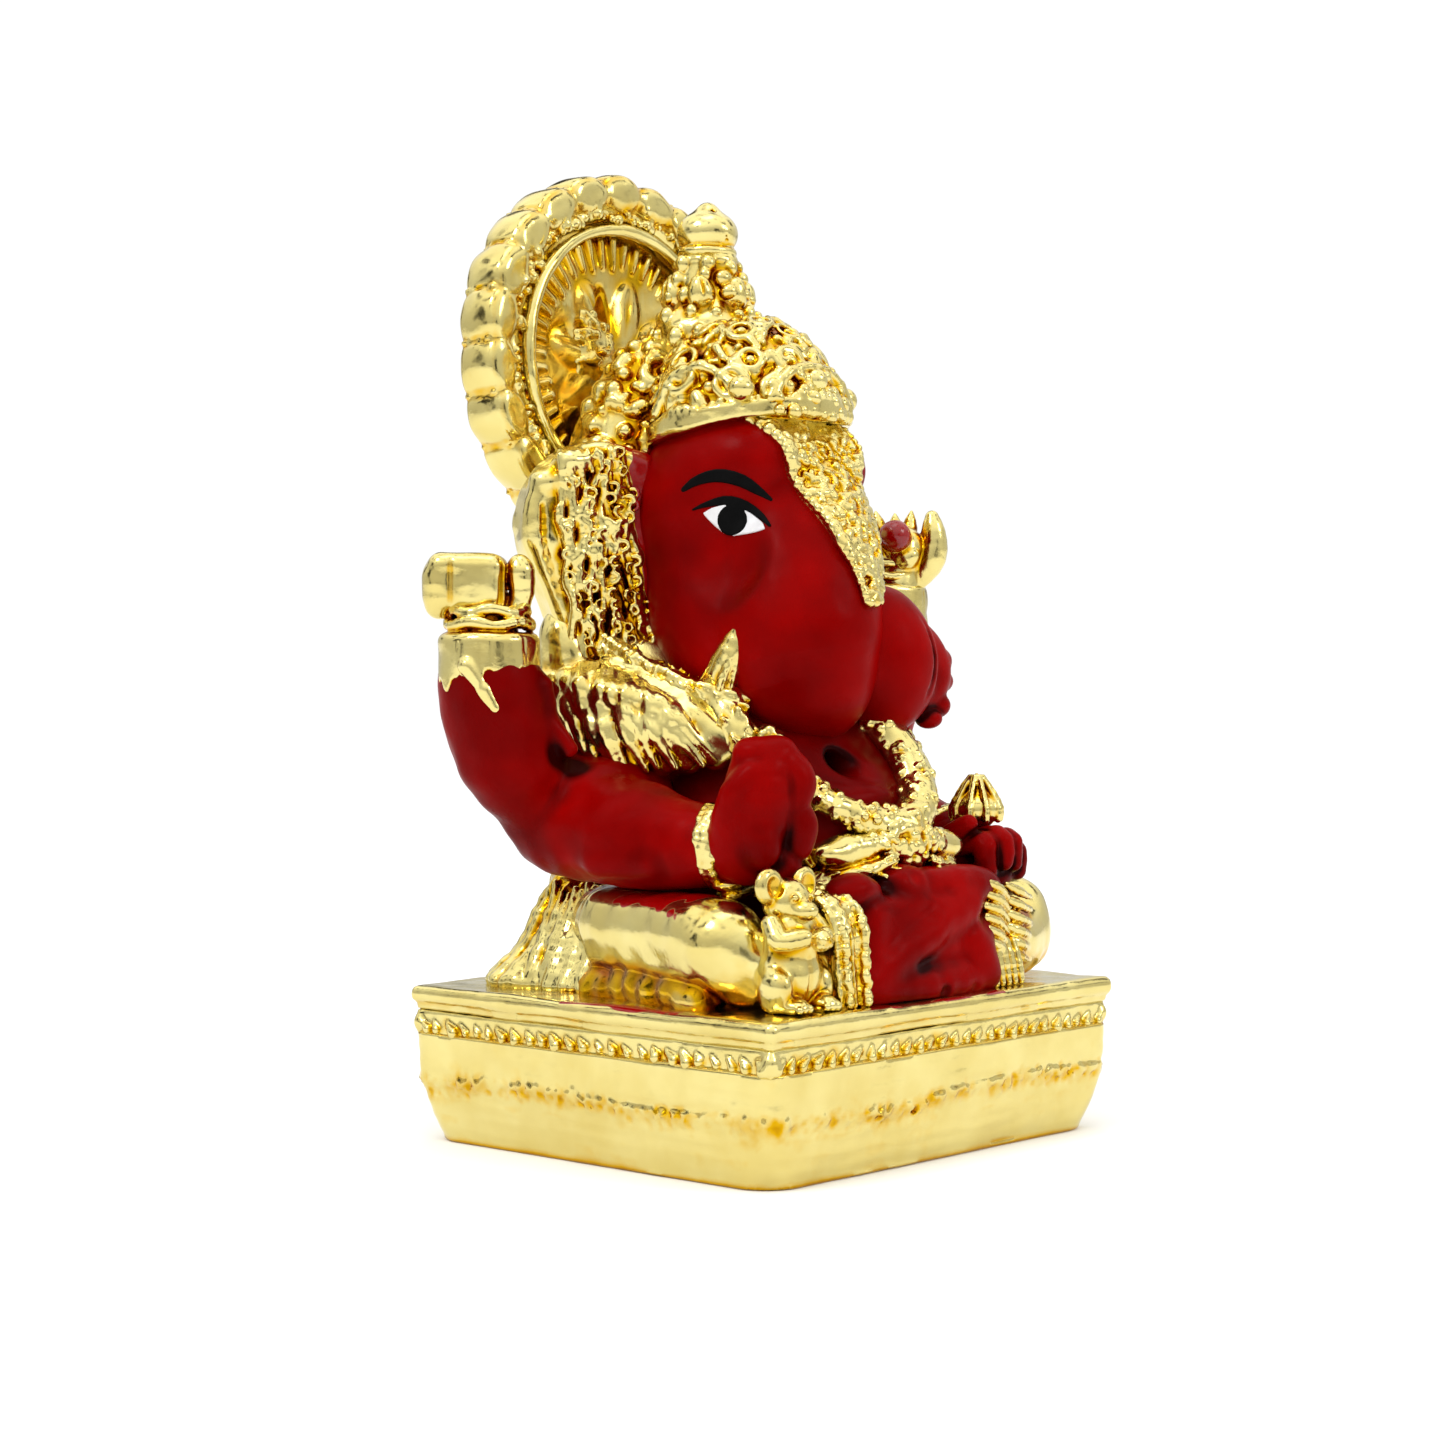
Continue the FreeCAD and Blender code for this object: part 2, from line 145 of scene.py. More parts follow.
def brick(centre, half, rounding, turn=None):
    c, h = np.asarray(centre, float), np.asarray(half, float) - rounding
    turn = np.eye(3) if turn is None else turn
    reach = np.abs(turn) @ (h + rounding)

    def distance(x, y, z):
        q = [np.abs(v) - s for v, s in zip(own_axes(c, turn, x, y, z), h)]
        outside = np.sqrt(sum(np.maximum(v, 0) ** 2 for v in q))
        return outside + np.minimum(np.maximum(np.maximum(q[0], q[1]), q[2]), 0) - rounding

    return c - reach, c + reach, distance


def rod(start, end, r0, r1):
    a, b = np.asarray(start, float), np.asarray(end, float)
    run = b - a
    length2 = max(float(run @ run), 1e-9)

    def distance(x, y, z):
        x, y, z = x - a[0], y - a[1], z - a[2]
        t = np.clip((x * run[0] + y * run[1] + z * run[2]) / length2, 0, 1)
        gap = (x - t * run[0]) ** 2 + (y - t * run[1]) ** 2 + (z - t * run[2]) ** 2
        return np.sqrt(gap) - (r0 + (r1 - r0) * t)

    r = max(r0, r1)
    return np.minimum(a, b) - r, np.maximum(a, b) + r, distance


def ring(centre, axis, radius, thickness):
    c, n = np.asarray(centre, float), unit_of(axis)
    reach = radius + thickness

    def distance(x, y, z):
        x, y, z = x - c[0], y - c[1], z - c[2]
        height = x * n[0] + y * n[1] + z * n[2]
        out = np.sqrt(np.maximum(x * x + y * y + z * z - height * height, 0)) - radius
        return np.sqrt(out * out + height * height) - thickness

    return c - reach, c + reach, distance


def puck(centre, radius, half, rounding):
    """An upright round block with softened edges."""
    c = np.asarray(centre, float)
    reach = np.array([radius, radius, half])

    def distance(x, y, z):
        out = np.sqrt((x - c[0]) ** 2 + (y - c[1]) ** 2) - radius + rounding
        return corner(out, np.abs(z - c[2]) - half + rounding, rounding)

    return c - reach, c + reach, distance


def curve(points, count):
    """Points spaced along a smooth curve through the given ones; a radius may ride as a 4th value."""
    p = np.asarray(points, float)
    p = np.vstack([2 * p[0] - p[1], p, 2 * p[-1] - p[-2]])
    out = []
    for t in np.linspace(0, len(p) - 3 - 1e-9, count):
        i, f = int(t), t - int(t)
        a, b, c, d = p[i], p[i + 1], p[i + 2], p[i + 3]
        out.append(0.5 * (2 * b + (c - a) * f + (2 * a - 5 * b + 4 * c - d) * f * f
                          + (3 * b - a - 3 * c + d) * f ** 3))
    return np.array(out)


def tube(points, count=10):
    """Rods along a smooth curve through (x, y, z, radius) points."""
    p = curve(points, count)
    p[:, 3] = np.maximum(p[:, 3], 0.05)
    return [rod(a[:3], b[:3], a[3], b[3]) for a, b in zip(p[:-1], p[1:])]


# ---- clay -----------------------------------------------------------------------------------
def blend_union(a, b, width):
    if width <= 0:
        return np.minimum(a, b)
    h = np.maximum(width - np.abs(a - b), 0) / width
    return np.minimum(a, b) - h * h * width / 4


class Clay:
    """A block of distances over a box, with a margin round it."""

    def __init__(self, low, high, step, margin=0.9):
        self.step = step
        self.low = np.asarray(low, float) - margin
        counts = np.ceil((np.asarray(high, float) + margin - self.low) / step).astype(int) + 1
        self.axes = [(self.low[i] + step * np.arange(counts[i])).astype(np.float32) for i in range(3)]
        self.d = np.full(counts, FAR, np.float32)

    def grids(self, cut=(slice(None),) * 3):
        axes = [axis[part] for axis, part in zip(self.axes, cut)]
        return np.meshgrid(*axes, indexing="ij", sparse=True)

    def window(self, low, high):
        """The part of the block between two corners, or None where they miss it."""
        cut = []
        for i in range(3):
            first = (low[i] - self.low[i]) / self.step
            last = (high[i] - self.low[i]) / self.step
            start = int(np.clip(math.floor(first), 0, self.d.shape[i]))
            stop = int(np.clip(math.ceil(last) + 1, 0, self.d.shape[i]))
            if start >= stop:
                return None
            cut.append(slice(start, stop))
        return tuple(cut)

    def near(self, solids, pad):
        """Each solid's distances over the part of the block that the solid can change."""
        for low, high, distance in solids if isinstance(solids, list) else [solids]:
            cut = self.window(low - pad, high + pad)
            if cut is not None:
                yield cut, distance(*self.grids(cut)).astype(np.float32)

    def add(self, solids, blend=0.0):
        for cut, distances in self.near(solids, blend + 0.7):
            self.d[cut] = blend_union(self.d[cut], distances, blend)

    def carve(self, solids, blend=0.0):
        for cut, distances in self.near(solids, blend + 0.3):
            self.d[cut] = -blend_union(-self.d[cut], distances, blend)

    def fill(self):
        """Makes the whole block solid, ready for keep."""
        self.d = np.full_like(self.d, -FAR)

    def keep(self, distance, blend=0.0):
        """Keeps only what lies where distance(x, y, z) is negative."""
        self.d = -blend_union(-self.d, -distance(*self.grids()).astype(np.float32), blend)

    def above(self, level, blend=0.0):
        """Cuts away what is lower than a level."""
        self.keep(lambda x, y, z: level - z, blend)

    def below(self, level, blend=0.0):
        """Cuts away what is higher than a level."""
        self.keep(lambda x, y, z: z - level, blend)

    def shell(self, recipe, thickness):
        """Starts the block as a recipe's solid, made thicker all over."""
        self.d = (measure(recipe, *self.grids()) - thickness).astype(np.float32)

    def swell(self, amount, band=0.7):
        """Moves the surface out by amount(points), in millimetres."""
        index = np.nonzero(np.abs(self.d) < band)
        points = np.stack([self.axes[i][index[i]] for i in range(3)], axis=1).astype(float)
        self.d[index] -= amount(points).astype(np.float32)


def measure(recipe, x, y, z):
    """The distance to a recipe, a list of (solids, blend), at any points."""
    d = None
    for solids, blend in recipe:
        for solid in solids if isinstance(solids, list) else [solids]:
            near = solid[2](x, y, z)
            d = near if d is None else blend_union(d, near, blend)
    return d


def mould(recipe, low, high, step):
    """A block that holds a recipe's solid."""
    clay = Clay(low, high, step)
    for solids, blend in recipe:
        clay.add(solids, blend)
    return clay


def waves(size, seed, count=9):
    """Smooth noise between about -1 and 1 whose lumps are roughly size across."""
    rng = np.random.default_rng(seed)
    ways = rng.normal(size=(count, 3))
    ways *= (2 * math.pi / (size * rng.uniform(1.3, 2.6, count)) / np.linalg.norm(ways, axis=1))[:, None]
    phases = rng.uniform(0, 2 * math.pi, count)

    def noise(points):
        return np.sin(points @ ways.T + phases).sum(axis=1) / math.sqrt(count) / 1.2

    return noise


def cast_skin(fine=0.012, broad=0.04, seed=1):
    """The faint unevenness that every cast and plated surface has."""
    small, large = waves(0.9, seed), waves(3.6, seed + 1)
    return lambda p: fine * small(p) + broad * large(p)


# ---- casting a block as a mesh --------------------------------------------------------------
def sample(clay, points):
    """Distances at points, by straight-line interpolation in the block."""
    top = np.array(clay.d.shape) - 2
    q = np.clip((points - clay.low) / clay.step, 0, top + 0.999)
    i = np.minimum(q.astype(int), top)
    f = q - i
    total = 0
    for which in range(8):
        bit = np.array([which & 1, which >> 1 & 1, which >> 2 & 1])
        weight = np.prod(np.where(bit, f, 1 - f), axis=1)
        j = i + bit
        total = total + weight * clay.d[j[:, 0], j[:, 1], j[:, 2]]
    return total


def closed(clay):
    """The block's distances with its outer faces emptied, so that no mesh is left open there."""
    d = clay.d
    for axis in range(3):
        for end in (0, -1):
            edge = [slice(None)] * 3
            edge[axis] = end
            d[tuple(edge)] = np.maximum(d[tuple(edge)], clay.step)
    return d


def skin_of(clay):
    """The block's surface, as points in millimetres, triangles and quads."""
    grid = openvdb.FloatGrid(FAR)
    grid.copyFromArray(closed(clay))
    points, triangles, quads = grid.convertToPolygons(0.0, 0.0)
    return points * clay.step + clay.low, triangles, quads


def make_mesh(name, points, triangles, quads):
    mesh = bpy.data.meshes.new(name)
    corners = np.concatenate([quads.reshape(-1), triangles.reshape(-1)]).astype(np.int32)
    sizes = np.concatenate([np.full(len(quads), 4), np.full(len(triangles), 3)])
    starts = np.concatenate([[0], np.cumsum(sizes)[:-1]]).astype(np.int32)
    mesh.vertices.add(len(points))
    mesh.vertices.foreach_set("co", (points * MM).astype(np.float32).ravel())
    mesh.loops.add(len(corners))
    mesh.loops.foreach_set("vertex_index", corners)
    mesh.polygons.add(len(sizes))
    mesh.polygons.foreach_set("loop_start", starts)
    mesh.polygons.foreach_set("use_smooth", np.ones(len(sizes), bool))
    mesh.update(calc_edges=True)
    mesh.validate()
    return mesh


def normals_of(mesh):
    out = np.empty(len(mesh.vertices) * 3, np.float32)
    mesh.vertex_normals.foreach_get("vector", out)
    return out.reshape(-1, 3).astype(float)


def occlusion_shade(clay, points, normals):
    """How enclosed each point is, from 0 in the open to 1 at the bottom of a crevice; it sets the painted
    shade.
    """
    shade = np.zeros(len(points))
    for reach in (0.2, 0.45, 0.9):
        shade += np.clip(1 - sample(clay, points + normals * reach) / reach, 0, 1.3)
    return np.clip(shade / 3 * 1.5, 0, 1)


def set_value(mesh, name, values):
    layer = mesh.attributes.new(name, "FLOAT", "POINT")
    layer.data.foreach_set("value", np.asarray(values, np.float32))


def cast(name, blocks, nodes, slot, material, place=None, paint=None, more_shade=0.0):
    """Casts one or more blocks as one piece that stands for the CAD nodes; the last argument adds painted
    shade, which deepens its colour.
    """
    points, triangles, quads, shade, colour = [], [], [], [], []
    offset = 0
    for block in blocks if isinstance(blocks, list) else [blocks]:
        p, t, q = skin_of(block)
        part = make_mesh("scratch", p, t, q)
        normals = normals_of(part)
        bpy.data.meshes.remove(part)
        shade.append(occlusion_shade(block, p, normals) + (more_shade(p) if callable(more_shade) else more_shade))
        colour.append(paint(p) if paint else np.zeros(len(p)))
        points.append(place(p) if place else p)
        triangles.append(t + offset)
        quads.append(q + offset)
        offset += len(p)
    mesh = make_mesh(name, np.vstack(points), np.vstack(triangles), np.vstack(quads))
    # Painted shade: the materials darken each point by how enclosed it is
    set_value(mesh, "painted_shade", np.concatenate(shade))
    set_value(mesh, "paint", np.concatenate(colour))
    piece = bpy.data.objects.new(name, mesh)
    bpy.context.scene.collection.objects.link(piece)
    mesh.materials.append(material)
    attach(piece, "root")
    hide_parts(*nodes)


# ---- materials ------------------------------------------------------------------------------
def link(tree, a, b):
    tree.links.new(a, b)


def node(tree, kind, **settings):
    made = tree.nodes.new(kind)
    for key, value in settings.items():
        if key in made.inputs:
            made.inputs[key].default_value = value
        else:
            setattr(made, key, value)
    return made


def read_value(tree, name):
    made = tree.nodes.new("ShaderNodeAttribute")
    made.attribute_name = name
    return made.outputs["Fac"]


def noise_of(tree, scale, detail=3.0):
    where = tree.nodes.new("ShaderNodeTexCoord")
    made = node(tree, "ShaderNodeTexNoise", Scale=scale, Detail=detail)
    link(tree, where.outputs["Object"], made.inputs["Vector"])
    return made.outputs["Fac"]


def ramp(tree, source, stops):
    made = tree.nodes.new("ShaderNodeValToRGB")
    elements = made.color_ramp.elements
    while len(elements) < len(stops):
        elements.new(0.5)
    for element, (place, colour) in zip(elements, stops):
        element.position = place
        element.color = (*colour, 1) if len(colour) == 3 else colour
    link(tree, source, made.inputs["Fac"])
    return made.outputs["Color"]


def spread(tree, source, low, high, to_low, to_high):
    """Stretches the range from low to high onto another, and holds what falls outside it."""
    made = node(tree, "ShaderNodeMapRange")
    for key, value in zip(("From Min", "From Max", "To Min", "To Max"), (low, high, to_low, to_high)):
        made.inputs[key].default_value = value
    link(tree, source, made.inputs["Value"])
    return made.outputs["Result"]


def mix_colours(tree, factor, a, b, how="MIX"):
    made = tree.nodes.new("ShaderNodeMix")
    made.data_type, made.blend_type = "RGBA", how
    for value, socket in ((factor, made.inputs[0]), (a, made.inputs[6]), (b, made.inputs[7])):
        if isinstance(value, bpy.types.NodeSocket):
            link(tree, value, socket)
        else:
            socket.default_value = value if isinstance(value, float) else (*value, 1)
    return made.outputs[2]


def grey(level):
    return (level, level, level)


def roughen(tree, shader, scale, low, high):
    """Roughness that wanders between low and high."""
    rough = spread(tree, noise_of(tree, scale), 0.3, 0.7, low, high)
    link(tree, rough, shader.inputs["Roughness"])


def start_material(name):
    material = bpy.data.materials.new(name)
    material.use_nodes = True
    tree = material.node_tree
    return material, tree, tree.nodes["Principled BSDF"]


def bump(tree, shader, height, strength, distance):
    made = node(tree, "ShaderNodeBump", Strength=strength, Distance=distance)
    link(tree, height, made.inputs["Height"])
    link(tree, made.outputs["Normal"], shader.inputs["Normal"])


# GOLD_OPEN and ENAMEL_OPEN are the own colours; the rest are painted shade, the amber and dark of crevices
# and enclosed places
GOLD_OPEN, GOLD_SHADE, GOLD_DARK_SHADE = (0.75, 0.64, 0.25), (0.68, 0.4, 0.006), (0.3, 0.085, 0.0)
ENAMEL_OPEN, ENAMEL_SHADE = (0.265, 0.0003, 0.0002), (0.03, 0.0, 0.0)


def gold_plating():
    material, tree, shader = start_material("gold_plating")
    # Painted shade: the plating deepens to amber and then to dark brown where it is enclosed, with a little
    # noise in where it starts
    painted_shade = read_value(tree, "painted_shade")
    grain = spread(tree, noise_of(tree, 700.0, 4.0), 0.3, 0.7, -0.08, 0.08)
    depth = node(tree, "ShaderNodeMath", operation="ADD")
    link(tree, painted_shade, depth.inputs[0])
    link(tree, grain, depth.inputs[1])
    tint = ramp(tree, depth.outputs[0],
                [(0.0, GOLD_OPEN), (0.14, GOLD_OPEN), (0.46, GOLD_SHADE), (0.95, GOLD_DARK_SHADE)])
    patches = ramp(tree, noise_of(tree, 320.0), [(0.35, (0.92, 0.88, 0.76)), (0.65, grey(1))])
    colour = mix_colours(tree, 1.0, tint, patches, "MULTIPLY")
    paint = read_value(tree, "paint")
    edge = spread(tree, paint, 0.42, 0.58, 0.0, 1.0)
    link(tree, mix_colours(tree, edge, colour, ENAMEL_OPEN), shader.inputs["Base Color"])
    metal = spread(tree, paint, 0.42, 0.58, 1.0, 0.0)
    link(tree, metal, shader.inputs["Metallic"])
    roughen(tree, shader, 900.0, 0.1, 0.24)
    bump(tree, shader, noise_of(tree, 1900.0, 5.0), 0.3, 0.00006)
    return material


def red_enamel():
    material, tree, shader = start_material("red_enamel")
    painted_shade = read_value(tree, "painted_shade")
    # Painted shade: the red darkens where the surface is enclosed
    tint = ramp(tree, painted_shade, [(0.0, ENAMEL_OPEN), (0.1, ENAMEL_OPEN), (0.55, ENAMEL_SHADE)])
    strokes = ramp(tree, noise_of(tree, 240.0, 5.0), [(0.3, grey(0.6)), (0.7, grey(1.0))])
    pools = ramp(tree, noise_of(tree, 130.0, 2.0), [(0.36, grey(0.66)), (0.6, grey(1.08))])
    uneven = mix_colours(tree, 1.0, strokes, pools, "MULTIPLY")
    link(tree, mix_colours(tree, 1.0, tint, uneven, "MULTIPLY"), shader.inputs["Base Color"])
    roughen(tree, shader, 500.0, 0.24, 0.42)
    shader.inputs["Specular IOR Level"].default_value = 0.025
    bump(tree, shader, noise_of(tree, 900.0, 6.0), 0.35, 0.0001)
    return material


def plain_enamel(name, colour, roughness, shade):
    material, tree, shader = start_material(name)
    darker = tuple(c * shade for c in colour)
    tint = ramp(tree, noise_of(tree, 1400.0), [(0.3, darker), (0.65, colour)])
    link(tree, tint, shader.inputs["Base Color"])
    roughen(tree, shader, 2200.0, roughness, roughness + 0.15)
    shader.inputs["Specular IOR Level"].default_value = 0.06
    bump(tree, shader, noise_of(tree, 3000.0), 0.1, 0.00003)
    return material


GOLD, RED = gold_plating(), red_enamel()
WHITE = plain_enamel("white_enamel", (0.8, 0.79, 0.8), 0.4, 0.8)
BLACK = plain_enamel("black_enamel", grey(0.002), 0.5, 0.4)


def gold(name, blocks, *nodes, skin=None, place=None, paint=None, more_shade=0.0):
    """A gilt piece; skin is cast_skin's arguments, and a piece with no nodes has its node's name."""
    if skin:
        blocks.swell(cast_skin(*skin))
    cast(name, blocks, nodes or (name,), "gold_plating", GOLD, place, paint, more_shade)


def red(name, blocks, *nodes, skin=None, shade=0.0):
    """An enamelled piece, with gold's arguments; shade is painted shade that deepens the red."""
    if skin:
        blocks.swell(cast_skin(*skin))
    cast(name, blocks, nodes or (name,), "red_enamel", RED, more_shade=shade)


# ---- plinth ---------------------------------------------------------------------------------
SLAB_LOW, SLAB_HIGH = box("plinth_slab")
ROPE_LOW, ROPE_HIGH = box("plinth_rope_border")
DRUM_LOW, DRUM_HIGH = box("plinth_drum")
SEAM = DRUM_LOW[2]
TOP = SLAB_HIGH[2]
TOOTH_PITCH = 0.98


def make_slab():
    half = (SLAB_HIGH - SLAB_LOW) / 2
    lip = 1.05
    clay = Clay(SLAB_LOW, SLAB_HIGH, COARSE)
    clay.add(brick((0, 0, TOP - lip / 2), (half[0], half[1], lip / 2), 0.46))
    low = (SLAB_LOW[2] + TOP - lip + 0.1) / 2
    clay.add(brick((0, 0, low), (half[0] - 0.3, half[1] - 0.3, TOP - lip + 0.1 - low), 0.15), 0.06)
    broad, ragged = waves(7.0, 14), waves(1.5, 12)
    clay.swell(lambda p: cast_skin(0.012, 0.045, 11)(p) + 0.04 * broad(p))

    def paint(p):
        """Enamel that ran onto the slab beside the thigh and under the lap cloth."""
        x, y, wander = p[:, 0], p[:, 1], 0.2 * ragged(p)
        thigh = np.maximum(np.abs(x + 13.8) - 0.34, np.abs(y + 2.6) - 4.2)
        cloth = np.maximum(np.abs(y + 13.2) - 0.6, np.abs(x + 0.3) - 4.6)
        above = 0.14 + 0.05 * ragged(p * 0.6)
        return np.clip(0.5 - (np.minimum(thigh, cloth) + wander) / 0.25, 0, 1) * (p[:, 2] > TOP - above)

    def local_shade(p):
        """Painted shade: the plating deepened to amber on the slab's top under and beside each thigh."""
        x, y = p[:, 0], p[:, 1]
        side = np.maximum(np.abs(np.abs(x) - 11.6) - 2.0, np.abs(y + 2.5) - 7.5) + 0.4 * ragged(p)
        return 0.34 * np.clip(-side / 0.8, 0, 1) * (p[:, 2] > TOP - 0.2)

    gold("plinth_slab", clay, paint=paint, more_shade=local_shade)


def make_rope():
    """A row of small, uneven, triangular teeth round the plinth, under the slab."""
    half = (ROPE_HIGH - ROPE_LOW) / 2
    z = (ROPE_HIGH[2] + ROPE_LOW[2]) / 2
    tall = half[2]
    clay = Clay(ROPE_LOW, ROPE_HIGH, MEDIUM)
    clay.add(brick((0, 0, z), (half[0] - 0.3, half[1] - 0.3, tall + 0.15), 0.1))
    clay.carve(brick((0, 0, z), (half[0] - 2.0, half[1] - 2.0, tall + 1.0), 0.2))
    rng = np.random.default_rng(5)
    for axis in (0, 1):
        other = 1 - axis
        count = int(round((2 * half[axis] - 1.0) / TOOTH_PITCH))
        for sense in SIDES:
            for i in range(count):
                along = -half[axis] + 0.9 + i * (2 * half[axis] - 1.8) / (count - 1) + rng.uniform(-0.1, 0.1)
                lean = rng.uniform(0.08, 0.3)
                worn = rng.uniform(0.6, 1.15)
                a, b = np.zeros(3), np.zeros(3)
                a[axis], b[axis] = along - lean, along + lean
                a[other] = b[other] = sense * (half[other] - 0.26)
                a[2], b[2] = z - tall + 0.2 + rng.uniform(0, 0.12), z + tall - 0.45
                clay.add(rod(a, b, 0.33 * worn, 0.13 * worn), 0.06)
    for sx in SIDES:
        for sy in SIDES:
            clay.add(egg((sx * (half[0] - 0.5), sy * (half[1] - 0.5), z), (0.45, 0.45, tall)), 0.15)
    gold("rope_border", clay, "plinth_rope_border", skin=(0.03, 0.03, 13))


def make_drum():
    """The plinth's body: two leaning courses that meet at a rough casting seam."""
    half = (DRUM_HIGH - DRUM_LOW) / 2
    top = ROPE_LOW[2] + 0.1

    def sides(x, y, z):
        rise = np.clip(z / SEAM, 0, 1)
        rounding = 1.1 + 1.3 * (1 - rise) ** 1.5
        grow = 0.45 - 0.5 * (1 - rise) ** 1.3 + 0.08 * np.clip((z - SEAM) / (top - SEAM), 0, 1)
        qx = np.abs(x) - (half[0] - 0.5 + grow - rounding)
        qy = np.abs(y) - (half[1] - 0.5 + grow - rounding)
        return corner(qx, qy, rounding) * 0.95

    clay = Clay((-half[0], -half[1], 0), (half[0], half[1], top), COARSE)
    clay.fill()
    clay.keep(sides)
    clay.below(top, 0.1)
    clay.above(0.0, 0.2)
    fine, middle, broad = waves(0.3, 21, 20), waves(1.4, 22), waves(6.0, 23)
    level_of, streak = waves(9.0, 24), waves(1.2, 25)

    def seam_level(p):
        return p[:, 2] - SEAM - 0.3 * level_of(p)

    def weather(p):
        level = seam_level(p)
        grit = np.exp(-(level / 0.55) ** 2) * np.clip(0.75 + 0.4 * middle(p), 0.2, 1)
        crease = np.exp(-((level - 0.5) / 0.16) ** 2) * np.clip(0.5 + 0.7 * broad(p), 0, 1)
        ledge = 0.5 - 0.5 * np.tanh(level / 0.22)
        streaks = streak(p * (0.5, 0.5, 2.4))
        relief = (0.11 * grit * fine(p) + 0.06 * grit - 0.14 * ledge - 0.1 * crease + 0.05 * broad(p)
                  + 0.015 * middle(p) + 0.02 * streaks)
        return relief * np.clip(p[:, 2] / 0.3, 0, 1)

    # Painted shade: the plating deepened to amber along the seam
    def local_shade(p):
        return 0.26 * np.exp(-(seam_level(p) / 0.6) ** 2) * np.clip(0.7 + 0.4 * middle(p), 0, 1)

    clay.swell(weather)
    gold("plinth_body", clay, "plinth_drum", "plinth_foot", more_shade=local_shade)


# ---- halo -----------------------------------------------------------------------------------
HALO_LEAN = math.radians(4.0)
HALO_RADIUS = (box("halo_petal_rim")[1] - box("halo_petal_rim")[0])[0] / 2
HALO_CENTRE = mid("halo_petal_rim")
PETALS = 23
BEAD_RING = 8.7  # radius


def on_halo(points):
    """From the halo's own frame, flat and centred, to its leaning place on the idol."""
    c, s = math.cos(HALO_LEAN), math.sin(HALO_LEAN)
    out = points.copy()
    out[:, 1] = c * points[:, 1] + s * points[:, 2]
    out[:, 2] = -s * points[:, 1] + c * points[:, 2]
    return out + HALO_CENTRE


def round_the_halo(count, radius, start=0.0):
    for angle in turns(count, start):
        yield angle, radius * math.sin(angle), radius * math.cos(angle)


def radial(angle):
    """Axes whose first points outwards from the halo's centre."""
    out = np.array([math.sin(angle), 0, math.cos(angle)])
    return np.column_stack([out, [0, 1, 0], np.cross(out, [0, 1, 0])])


def tufts(clay, path, count, rng, flow, length=0.9, size=0.2, lift=0.95):
    """Covers a tube with short combed strokes that run along flow."""
    flow = unit_of(flow)
    for p in curve(path, count):
        way = unit_of(rng.normal(size=3))
        at = p[:3] + way * p[3] * lift
        run = flow + rng.normal(size=3) * 0.35
        run *= length * rng.uniform(0.6, 1.2) / np.linalg.norm(run) / 2
        thick = size * rng.uniform(0.75, 1.25)
        clay.add(rod(at - run, at + run, thick * 0.75, thick), 0.05)


def make_halo():
    rng = np.random.default_rng(31)
    for make in (make_petals, make_halo_rings, make_halo_disc, make_halo_boss):
        make(rng)


def make_petals(rng):
    """The halo's lobed rim, with small beads in its grooves and down its inner slope."""
    r = HALO_RADIUS
    rim = Clay((-r, -1.3, -r), (r, 2.0, r), MEDIUM)
    rim.add(ring((0, 0.3, 0), (0, 1, 0), r - 1.35, 1.1))
    for angle, x, z in round_the_halo(PETALS, r - 1.18):
        size = rng.uniform(0.95, 1.04)
        rim.add(egg((x, 0.3, z), (1.2 * size, 2.4, 1.85), radial(angle)), 0.25)
    rim.keep(lambda x, y, z: np.abs(y - 0.25) - 1.5, 0.5)
    for angle, x, z in round_the_halo(PETALS, r - 0.62, 0.5):
        out = radial(angle)[:, 0] * 0.45
        rim.carve(rod((x + out[0], -1.5, z + out[2]), (x + out[0], 2.1, z + out[2]), 0.12, 0.12), 0.3)
        for deep in (-0.9, -0.3, 0.4, 1.0):
            size = rng.uniform(0.7, 1.15)
            at = (x, deep + 0.3 + rng.uniform(-0.1, 0.1), z)
            rim.add(egg(at, (0.38 * size, 0.3, 0.17 * size), radial(angle)), 0.06)
    for angle, x, z in round_the_halo(PETALS, r - 2.0):
        for _ in range(3):
            at = (x + rng.uniform(-0.5, 0.5), -0.95 + rng.uniform(-0.1, 0.15), z + rng.uniform(-0.5, 0.5))
            radii = (rng.uniform(0.2, 0.5), 0.3, rng.uniform(0.2, 0.4))
            rim.add(egg(at, radii, radial(angle + rng.uniform(-0.5, 0.5))), 0.08)
    gold("halo_petal_rim", rim, skin=(0.03, 0.07, 32), place=on_halo)


def make_halo_rings(rng):
    beads = Clay((-9.4, -1.5, -9.4), (9.4, -0.2, 9.4), MEDIUM)
    beads.add(ring((0, -0.35, 0), (0, 1, 0), BEAD_RING, 0.5))
    for _, x, z in round_the_halo(110, BEAD_RING):
        out = 1 + rng.uniform(-0.4, 0.4) / BEAD_RING
        at = (x * out, -0.8 + rng.uniform(-0.15, 0.15), z * out)
        beads.add(ball(at, rng.uniform(0.16, 0.38)), 0.07)
    gold("halo_bead_ring", beads, skin=(0.05, 0.05, 33), place=on_halo)

    smooth = Clay((-8.4, -1.6, -8.4), (8.4, -0.3, 8.4), MEDIUM)
    smooth.add(ring((0, -0.85, 0), (0, 1, 0), 7.75, 0.36))
    gold("halo_inner_ring", smooth, skin=(0.02, 0.07, 34), place=on_halo)


